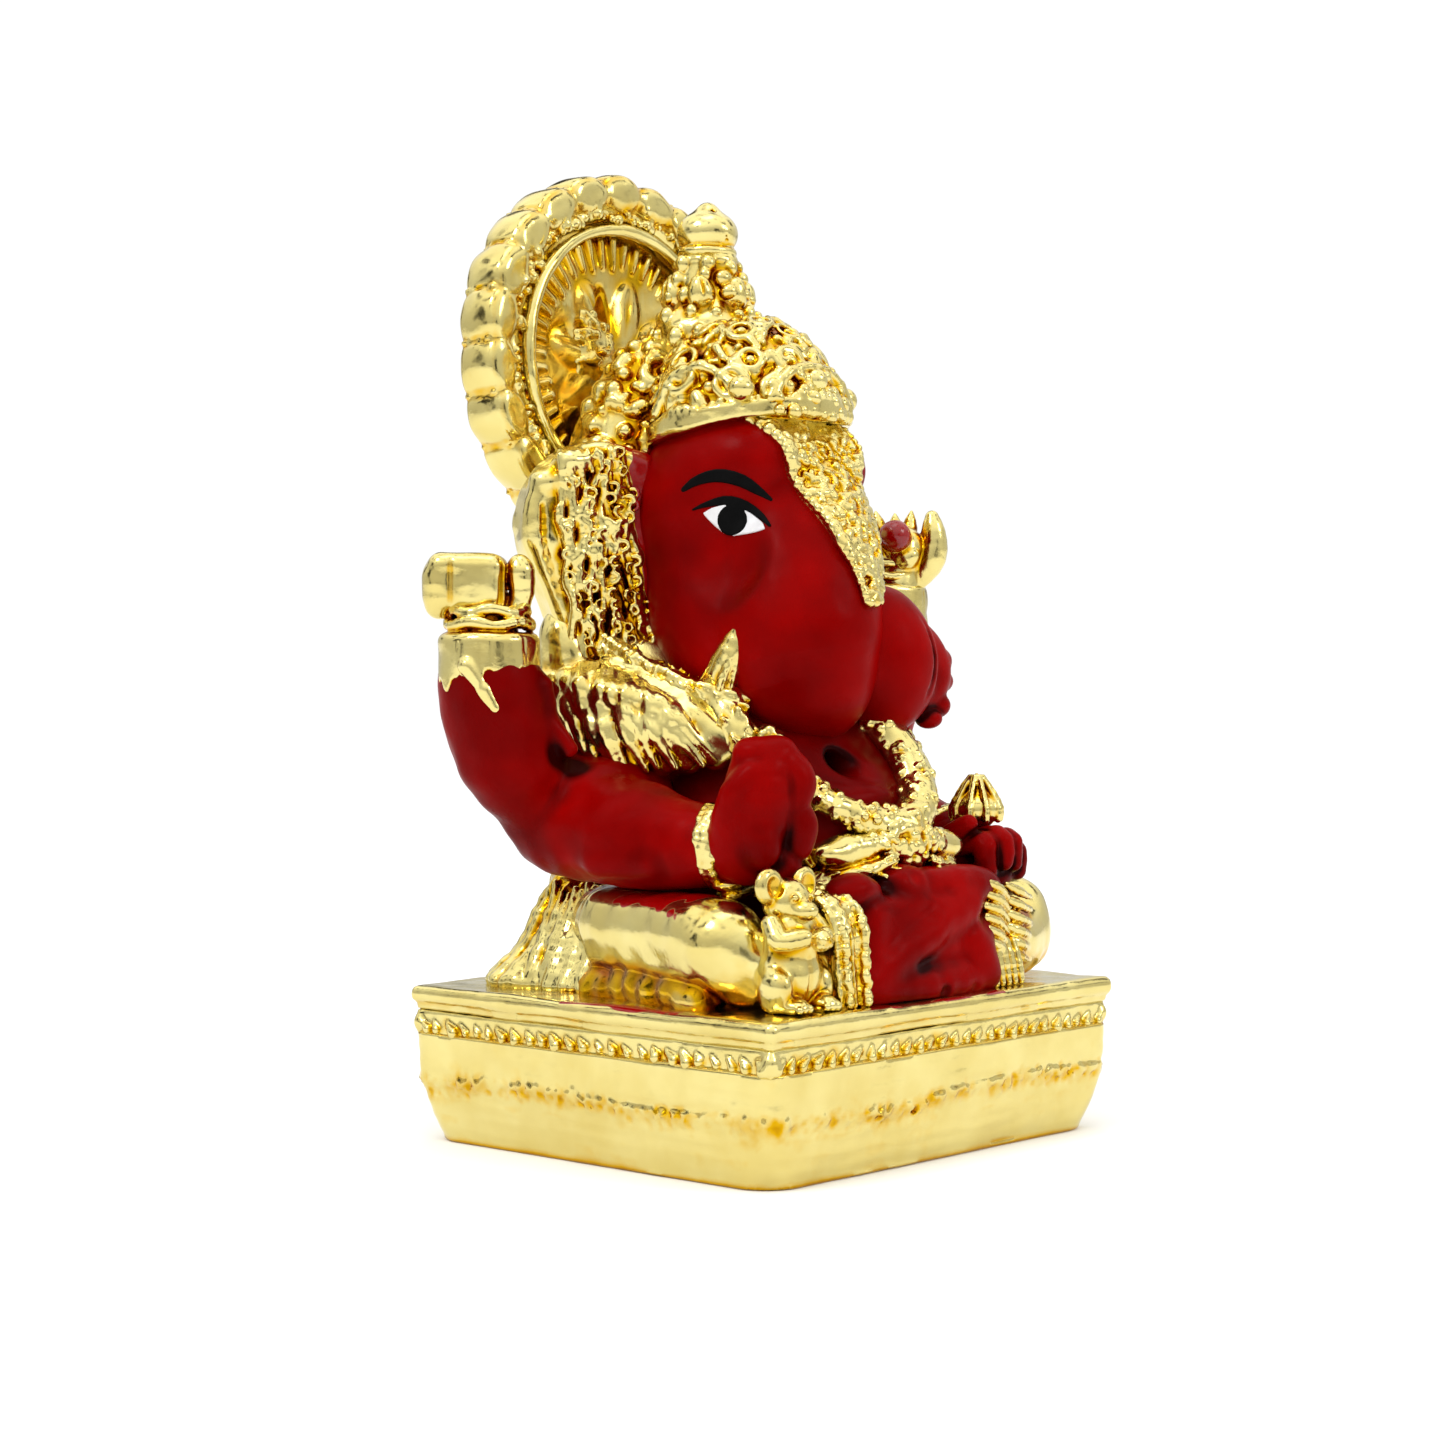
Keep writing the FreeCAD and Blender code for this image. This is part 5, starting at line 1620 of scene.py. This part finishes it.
# ---- legs and cloth -------------------------------------------------------------------------
def make_leg(side):
    name = SIDE_NAME[side]
    low, high = around(f"{name}_thigh", f"{name}_shin")
    clay = Clay(low - 0.5, high + (0.5, 1.4, 0.3), MEDIUM)
    reach = 11.4 if side < 0 else 12.0
    clay.add(tube(on_side(side, [(8.6, 3.4, 11.9, 1.9), (9.6, 1.0, 11.8, 2.1), (10.6, -3.4, 11.7, 2.1),
                                 (reach, -7.4, 11.5, 2.2)]), 10))
    clay.add(brick((side * 10.4, -2.4, 11.6), (1.75, 5.2, 1.9), 0.8, axes_of(side * 12.9)), 0.4)
    clay.add(tube(on_side(side, [(reach - 0.5, -8.3, 10.4, 1.9), (7.4, -9.2, 10.0, 1.7),
                                 (3.4, -8.8, 9.8, 1.5)]), 8), 0.7)
    clay.add(tube(on_side(side, [(5.0, 3.0, 9.3, 1.9), (8.4, -1.0, 9.3, 1.9), (9.6, -6.0, 9.2, 1.8)]), 8),
             0.3)
    clay.carve(tube(on_side(side, [(10.4, 4.6, 8.8, 0.4), (12.2, 0.0, 8.75, 0.5), (13.0, -4.0, 8.7, 0.5)]),
                    9), 0.35)
    rng = np.random.default_rng(161)
    if side > 0:
        for i in range(6):
            z = 13.6 - 0.7 * i
            fold = [(7.0, -11.0 + 0.1 * i, z, 0.2), (8.0, -11.0, z - 0.4, 0.27), (9.0, -10.8, z - 0.7, 0.2),
                    (10.2, -10.3, z - 0.9, 0.06)]
            clay.add(tube(fold, 8), 0.12)
    for _ in range(70):
        f, foot = rng.uniform(0, 1), rng.uniform(0, 1)
        x, y = 9.2 + 2.1 * f + 1.0 * foot, 4.6 - 11.2 * f
        clay.add(egg((side * x, y, 9.6 - 1.2 * foot + rng.uniform(-0.2, 0.2)), rng.uniform(0.25, 0.6, 3)),
                 0.9)
    clay.above(TOP - 0.15)
    rough, broad = waves(0.7, 163), waves(2.2, 164)

    def surface(p):
        low_down = np.clip((10.0 - p[:, 2]) / 0.8, 0, 1)
        return cast_skin(0.025, 0.07, 162)(p) + 0.05 * low_down * rough(p) + 0.05 * broad(p)

    def paint(p):
        fringe = 13.1 + 0.45 * waves(1.6, 165)(p) + 0.12 * waves(0.5, 166)(p)
        beside = np.clip((p[:, 1] + 6.6 + 0.6 * waves(1.5, 167)(p)) / 0.4, 0, 1)
        return np.clip((p[:, 2] - fringe) / 0.25, 0, 1) * beside

    # Painted shade: the plating deepens to amber low on the leg, under the thigh
    def local_shade(p):
        return 0.36 * np.clip((10.5 - p[:, 2]) / 0.9, 0, 1) * np.clip(0.85 + 0.35 * broad(p), 0, 1)

    clay.swell(surface)
    gold(f"{name}_leg", clay, f"{name}_thigh", f"{name}_shin", paint=paint, more_shade=local_shade)


def make_drape():
    """The cloth behind, in broad pleats that spread over the plinth."""
    low, high = box("back_drape")
    clay = Clay(low - 0.4, high + 0.4, MEDIUM)
    levels = [(low[2], 8.3, 11.5, 4.1), (10.2, 7.7, 10.0, 3.6), (12.2, 7.2, 9.3, 3.2),
              (high[2], 6.8, 8.8, 2.9)]
    zs, ys, xs, ds = (np.array(v) for v in zip(*levels))

    def skirt(x, y, z):
        rx, ry, cy = np.interp(z, zs, xs), np.interp(z, zs, ds), np.interp(z, zs, ys)
        near = np.sqrt((x / rx) ** 2 + ((y - cy) / ry) ** 2)
        steep = np.sqrt((x / rx ** 2) ** 2 + ((y - cy) / ry ** 2) ** 2)
        return near * (near - 1) / np.maximum(steep, 1e-6) * 0.9

    clay.fill()
    clay.keep(skirt)
    clay.above(TOP - 0.1)
    clay.below(high[2], 0.6)
    rng = np.random.default_rng(171)
    for i in range(44):
        a = math.pi * (-0.32 + 1.64 * (i + rng.uniform(-0.3, 0.3)) / 43)
        drop, sway = rng.uniform(0, 1.2), rng.uniform(-0.04, 0.04, 4)
        thick = rng.uniform((0.45, 0.38, 0.3, 0.2), (0.6, 0.5, 0.42, 0.34))
        path = [(rx * math.cos(a + s), y + ry * math.sin(a + s), max(min(z, high[2] - drop), TOP + 0.2), t)
                for (z, y, rx, ry), s, t in zip(levels, sway, thick)]
        clay.add(tube(path, 9), 0.14)
        if i % 2:
            ridge = [(x * 1.02, y + 0.35 * math.sin(a), z + 0.1, r * 0.35) for x, y, z, r in path]
            clay.add(tube(ridge, 9), 0.05)
    for side in SIDES:
        for i in range(8):
            y = 6.9 - 0.5 * i
            out = rng.uniform(-0.15, 0.2, 3)
            fold = on_side(side, [(9.0, y, 13.8 - rng.uniform(0, 0.8), 0.26),
                                  (9.5 + out[0], y - 0.1, 11.6, 0.46), (10.2 + out[1], y - 0.2, 9.8, 0.5),
                                  (11.0 + out[2], y - 0.2, 8.5, 0.36)])
            clay.add(tube(fold, 9), 0.12)
    for i in range(26):
        a = math.pi * rng.uniform(-0.3, 1.3)
        clay.add(ball((11.4 * math.cos(a), 8.3 + 4.0 * math.sin(a), TOP + rng.uniform(0.0, 0.4)),
                      rng.uniform(0.25, 0.45)), 0.25)
    clay.swell(lambda p: 0.035 * waves(0.6, 172)(p) + 0.08 * waves(2.0, 173)(p))
    gold("back_drape", clay)


def make_lap_cloth():
    """Enamelled cloth that humps over the lap, spreads in two wings and falls in creases."""
    low, high = box("lap_cloth")
    clay = Clay((low[0] - 1.2, low[1] - 0.5, low[2]), (high[0] + 1.8, high[1] + 0.5, high[2] + 1.0), MEDIUM)
    cx = (low[0] + high[0]) / 2
    front = low[1]
    clay.add(brick((cx + 0.1, -9.25, 11.1), (4.65, 2.4, 2.8), 1.0))
    clay.add(tube([(cx - 4.6, front + 0.9, 9.0, 0.75), (cx, front + 0.5, 8.8, 0.8),
                   (cx + 5.3, front + 0.9, 9.0, 0.75)], 9), 0.8)
    clay.add(egg((-4.8, -10.2, 13.9), (1.9, 1.4, 1.05)), 0.4)
    clay.add(egg((-1.1, -10.1, 14.1), (1.7, 1.4, 1.05)), 0.9)
    clay.add(tube([(-0.2, -10.3, 13.9, 0.85), (2.6, -10.5, 13.9, 0.8), (4.7, -10.5, 13.8, 0.7),
                   (6.2, -10.5, 13.5, 0.5)], 9), 0.6)
    clay.carve(egg((5.9, -11.2, 12.2), (2.2, 2.3, 0.62)), 0.35)
    clay.add(egg((4.5, -10.5, 10.7), (1.2, 1.2, 1.7)), 0.7)
    folds = [[(4.2, -10.8, 13.2, 0.4), (1.6, -11.1, 12.4, 0.5), (-1.6, -11.3, 11.0, 0.5),
              (-4.8, -11.2, 9.5, 0.4)],
             [(2.6, -10.8, 11.6, 0.3), (3.6, -11.1, 10.4, 0.5), (4.8, -11.2, 9.0, 0.4)]]
    for fold in folds:
        clay.add(tube(fold, 10), 1.0)
    for at, size in (((-1.0, -11.7, 14.6), 0.45), ((2.8, -12.4, 8.5), 0.3), ((0.2, -12.4, 8.5), 0.28)):
        clay.carve(ball(at, size), 0.3)
    clay.carve(tube([(4.0, -12.0, 12.1, 0.06), (2.4, -12.2, 11.4, 0.12), (2.2, -12.3, 10.2, 0.06)], 8), 0.5)
    clay.above(TOP - 0.1)
    red("lap_cloth", clay, skin=(0.03, 0.12, 181))


def make_borders():
    """The cloth's gilt edges: beaded columns on one side, gathered pleats on the other."""
    low, high = box("lap_cloth_borders")
    clay = Clay((low[0] - 0.6, low[1] - 0.6, low[2]), (high[0] + 1.2, high[1], high[2] + 0.6), FINE)
    rng = np.random.default_rng(185)
    x0 = low[0]
    for shift, size in ((0.1, 0.42), (0.8, 0.3), (1.5, 0.42)):
        column = [(x0 + shift, y, z, size) for y, z in
                  ((-8.4, 14.0), (-10.6, 13.4), (-11.5, 12.0), (-11.7, 10.0), (-11.9, TOP + 0.2))]
        clay.add(tube(column, 12), 0.1)
        if size > 0.4:
            for p in curve(column, 34):
                clay.add(ball(p[:3] + (rng.uniform(-0.12, 0.12), -0.36, 0.14), rng.uniform(0.24, 0.36)), 0.03)
                clay.add(ball(p[:3] + (-0.36, -0.1, 0.1), rng.uniform(0.18, 0.28)), 0.03)
    clay.add(brick((x0 + 0.8, -9.4, 10.9), (1.0, 2.0, 2.6), 0.4), 0.2)
    x1 = high[0]
    clay.add(brick((x1 - 0.5, -9.4, 10.9), (1.3, 1.7, 2.6), 0.5), 0.2)
    for i in range(6):
        z = 14.0 - 0.62 * i
        pleat = [(x1 - 1.7, -11.2 - 0.06 * i, z - 0.1, 0.2), (x1 - 0.6, -11.3, z - 0.45, 0.27),
                 (x1 + 0.7, -10.9, z - 1.1, 0.24)]
        clay.add(tube(pleat, 6), 0.06)
    for i in range(5):
        x = x1 - 1.3 + 0.55 * i
        clay.add(tube([(x, -11.1, 10.6, 0.26), (x + 0.1, -11.4, 9.4, 0.3),
                       (x + 0.15, -11.6, TOP + 0.2, 0.26)], 5), 0.1)
    clay.above(TOP - 0.1)
    gold("lap_cloth_borders", clay, skin=(0.03, 0.05, 186))


# ---- mouse ----------------------------------------------------------------------------------
MOUSE = np.array([-10.05, -10.45, 0])


def make_mouse_body():
    low, high = box("mouse_body")
    c = MOUSE
    clay = Clay((low[0] - 0.6, low[1] - 0.5, low[2]), (high[0] + 0.4, high[1], high[2] + 0.5), FINE)
    clay.add([egg(c + (0, 0, 10.1), (1.85, 1.5, 1.9)), egg(c + (0, -0.1, 11.9), (1.5, 1.3, 1.6))], 0.5)
    for side in SIDES:
        clay.add(egg(c + (side * 1.0, -1.1, TOP + 0.45), (0.7, 1.0, 0.5)), 0.12)
        for toe in (-0.35, 0.0, 0.35):
            clay.add(ball(c + (side * 1.0 + toe, -1.9, TOP + 0.35), 0.24), 0.06)
        clay.add(egg(c + (side * 1.45, -0.3, 9.5), (0.7, 1.15, 1.2)), 0.2)
        clay.add(tube(about(c, on_side(side, [(1.55, -0.2, 12.7, 0.5), (1.65, -0.9, 11.9, 0.48),
                                              (0.7, -1.6, 12.1, 0.44)])), 7), 0.1)
    clay.carve(tube(about(c, [(0, -1.5, 11.0, 0.05), (0, -1.6, 9.8, 0.1), (0, -1.4, 8.8, 0.12)]), 6), 0.25)
    clay.above(TOP - 0.1)
    gold("mouse_body", clay, skin=(0.035, 0.06, 191))


def make_mouse_head():
    c = MOUSE
    low, high = box("mouse_head")
    head = Clay(low - 0.6, high + 0.4, FINE)
    head.add(egg(c + (0, 0.1, 13.7), (1.3, 1.2, 1.15)))
    head.add(egg(c + (0, -0.9, 13.3), (0.68, 0.85, 0.58)), 0.25)
    for side in SIDES:
        ear = c + (side * 1.3, 0.15, 14.5)
        head.add(egg(ear, (0.88, 0.42, 0.9)), 0.1)
        head.carve(egg(ear + (0, -0.45, 0.02), (0.5, 0.3, 0.55)), 0.1)
        head.add(ball(c + (side * 0.6, -0.95, 13.95), 0.2), 0.03)
        head.carve(ball(c + (side * 0.85, -1.05, 13.75), 0.13), 0.08)
    head.carve(tube(about(c, [(-0.5, -1.5, 13.0, 0.05), (0, -1.8, 12.95, 0.06), (0.5, -1.5, 13.0, 0.05)]),
                    5), 0.1)
    gold("mouse_head", head, skin=(0.03, 0.04, 192))


def make_mouse_sweet():
    low, high = box("mouse_sweet")
    c = (low + high) / 2
    sweet = Clay(low, high, 0.07, 0.3)
    sweet.add(ball(c, 0.55))
    rng = np.random.default_rng(193)
    for _ in range(30):
        way = unit_of(rng.normal(size=3))
        sweet.add(ball(c + way * 0.48, rng.uniform(0.1, 0.17)), 0.03)
    gold("mouse_sweet", sweet)


# ---- stage ----------------------------------------------------------------------------------
def make_floor():
    bpy.ops.mesh.primitive_plane_add(size=4.0, location=(0, 0, 0))
    floor = bpy.context.object
    floor.name = "floor"
    material, tree, shader = start_material("floor_paper")
    tone = ramp(tree, noise_of(tree, 60.0), [(0.3, grey(0.93)), (0.7, grey(0.95))])
    link(tree, tone, shader.inputs["Base Color"])
    shader.inputs["Roughness"].default_value = 0.9
    floor.data.materials.append(material)


CAMERA_TURN, CAMERA_RISE = -48.4, 1.0  # degrees, from the idol's front
CAMERA_DISTANCE, CAMERA_AIM = 0.150, 0.0222
LENS, SHIFT = 69.2, -0.0295
LAMPS = (("key", -95, 50, 0.14, 0.6), ("fill", 20, 30, 0.16, 0.35),
         ("top", -60, 85, 0.25, 0.3))  # turn, rise, size, watts
LAMP_DISTANCE, LAMP_AIM = 0.5, 0.025
SKY = ((0.0, 0.42), (0.08, 0.45), (0.3, 0.52), (0.7, 0.95))  # brightness at each height
SKY_STRENGTH, BACKDROP = 1.6, 0.64


def stand(name, data, turn, rise, distance, height):
    """Puts a camera or a lamp out from the idol's middle line, turned to look back at it."""
    a, e = math.radians(turn), math.radians(rise)
    back = Vector((math.sin(a) * math.cos(e), -math.cos(a) * math.cos(e), math.sin(e)))
    made = bpy.data.objects.new(name, data)
    made.location = Vector((0, 0, height)) + back * distance
    made.rotation_euler = back.to_track_quat("Z", "Y").to_euler()
    bpy.context.scene.collection.objects.link(made)
    return made


def make_camera():
    data = bpy.data.cameras.new("camera")
    data.lens, data.sensor_width, data.shift_x = LENS, 36.0, SHIFT
    data.clip_start, data.clip_end = 0.005, 10
    camera = stand("camera", data, CAMERA_TURN, CAMERA_RISE, CAMERA_DISTANCE, CAMERA_AIM)
    bpy.context.scene.camera = camera


def make_light():
    world = bpy.data.worlds.new("studio")
    bpy.context.scene.world = world
    world.use_nodes = True
    tree = world.node_tree
    background = tree.nodes["Background"]
    where = tree.nodes.new("ShaderNodeTexCoord")
    parts = tree.nodes.new("ShaderNodeSeparateXYZ")
    link(tree, where.outputs["Generated"], parts.inputs["Vector"])
    sky = ramp(tree, parts.outputs["Z"], [(height, grey(level)) for height, level in SKY])
    blotches = node(tree, "ShaderNodeTexNoise", Scale=2.6, Detail=1.0)
    link(tree, where.outputs["Generated"], blotches.inputs["Vector"])
    cards = ramp(tree, blotches.outputs["Fac"], [(0.37, grey(0.03)), (0.43, grey(1.0))])
    studio = mix_colours(tree, 1.0, sky, cards, "MULTIPLY")
    rays = tree.nodes.new("ShaderNodeLightPath")
    seen = mix_colours(tree, rays.outputs["Is Camera Ray"], studio, grey(BACKDROP))
    link(tree, seen, background.inputs["Color"])
    background.inputs["Strength"].default_value = SKY_STRENGTH
    for name, turn, rise, size, power in LAMPS:
        data = bpy.data.lights.new(name, "AREA")
        data.shape, data.size, data.energy = "DISK", size, power
        stand(name, data, turn, rise, LAMP_DISTANCE, LAMP_AIM)
    bpy.context.scene.view_settings.view_transform = "Standard"


for make in (make_camera, make_slab, make_rope, make_drum, make_halo, make_crown, make_back_hair, make_head,
             make_ornament, make_eyes, make_tusks):
    make()
for side in SIDES:
    for make in (make_ear, make_arms, make_cuff, make_bracelet, make_leg):
        make(side)
for make in (make_shawl, make_collar, make_torso, make_chest_jewels, make_right_rear_hand,
             make_left_rear_hand, make_right_front_hand, make_left_front_hand, make_modak, make_drape,
             make_lap_cloth, make_borders, make_mouse_body, make_mouse_head, make_mouse_sweet, make_floor,
             make_light):
    make()
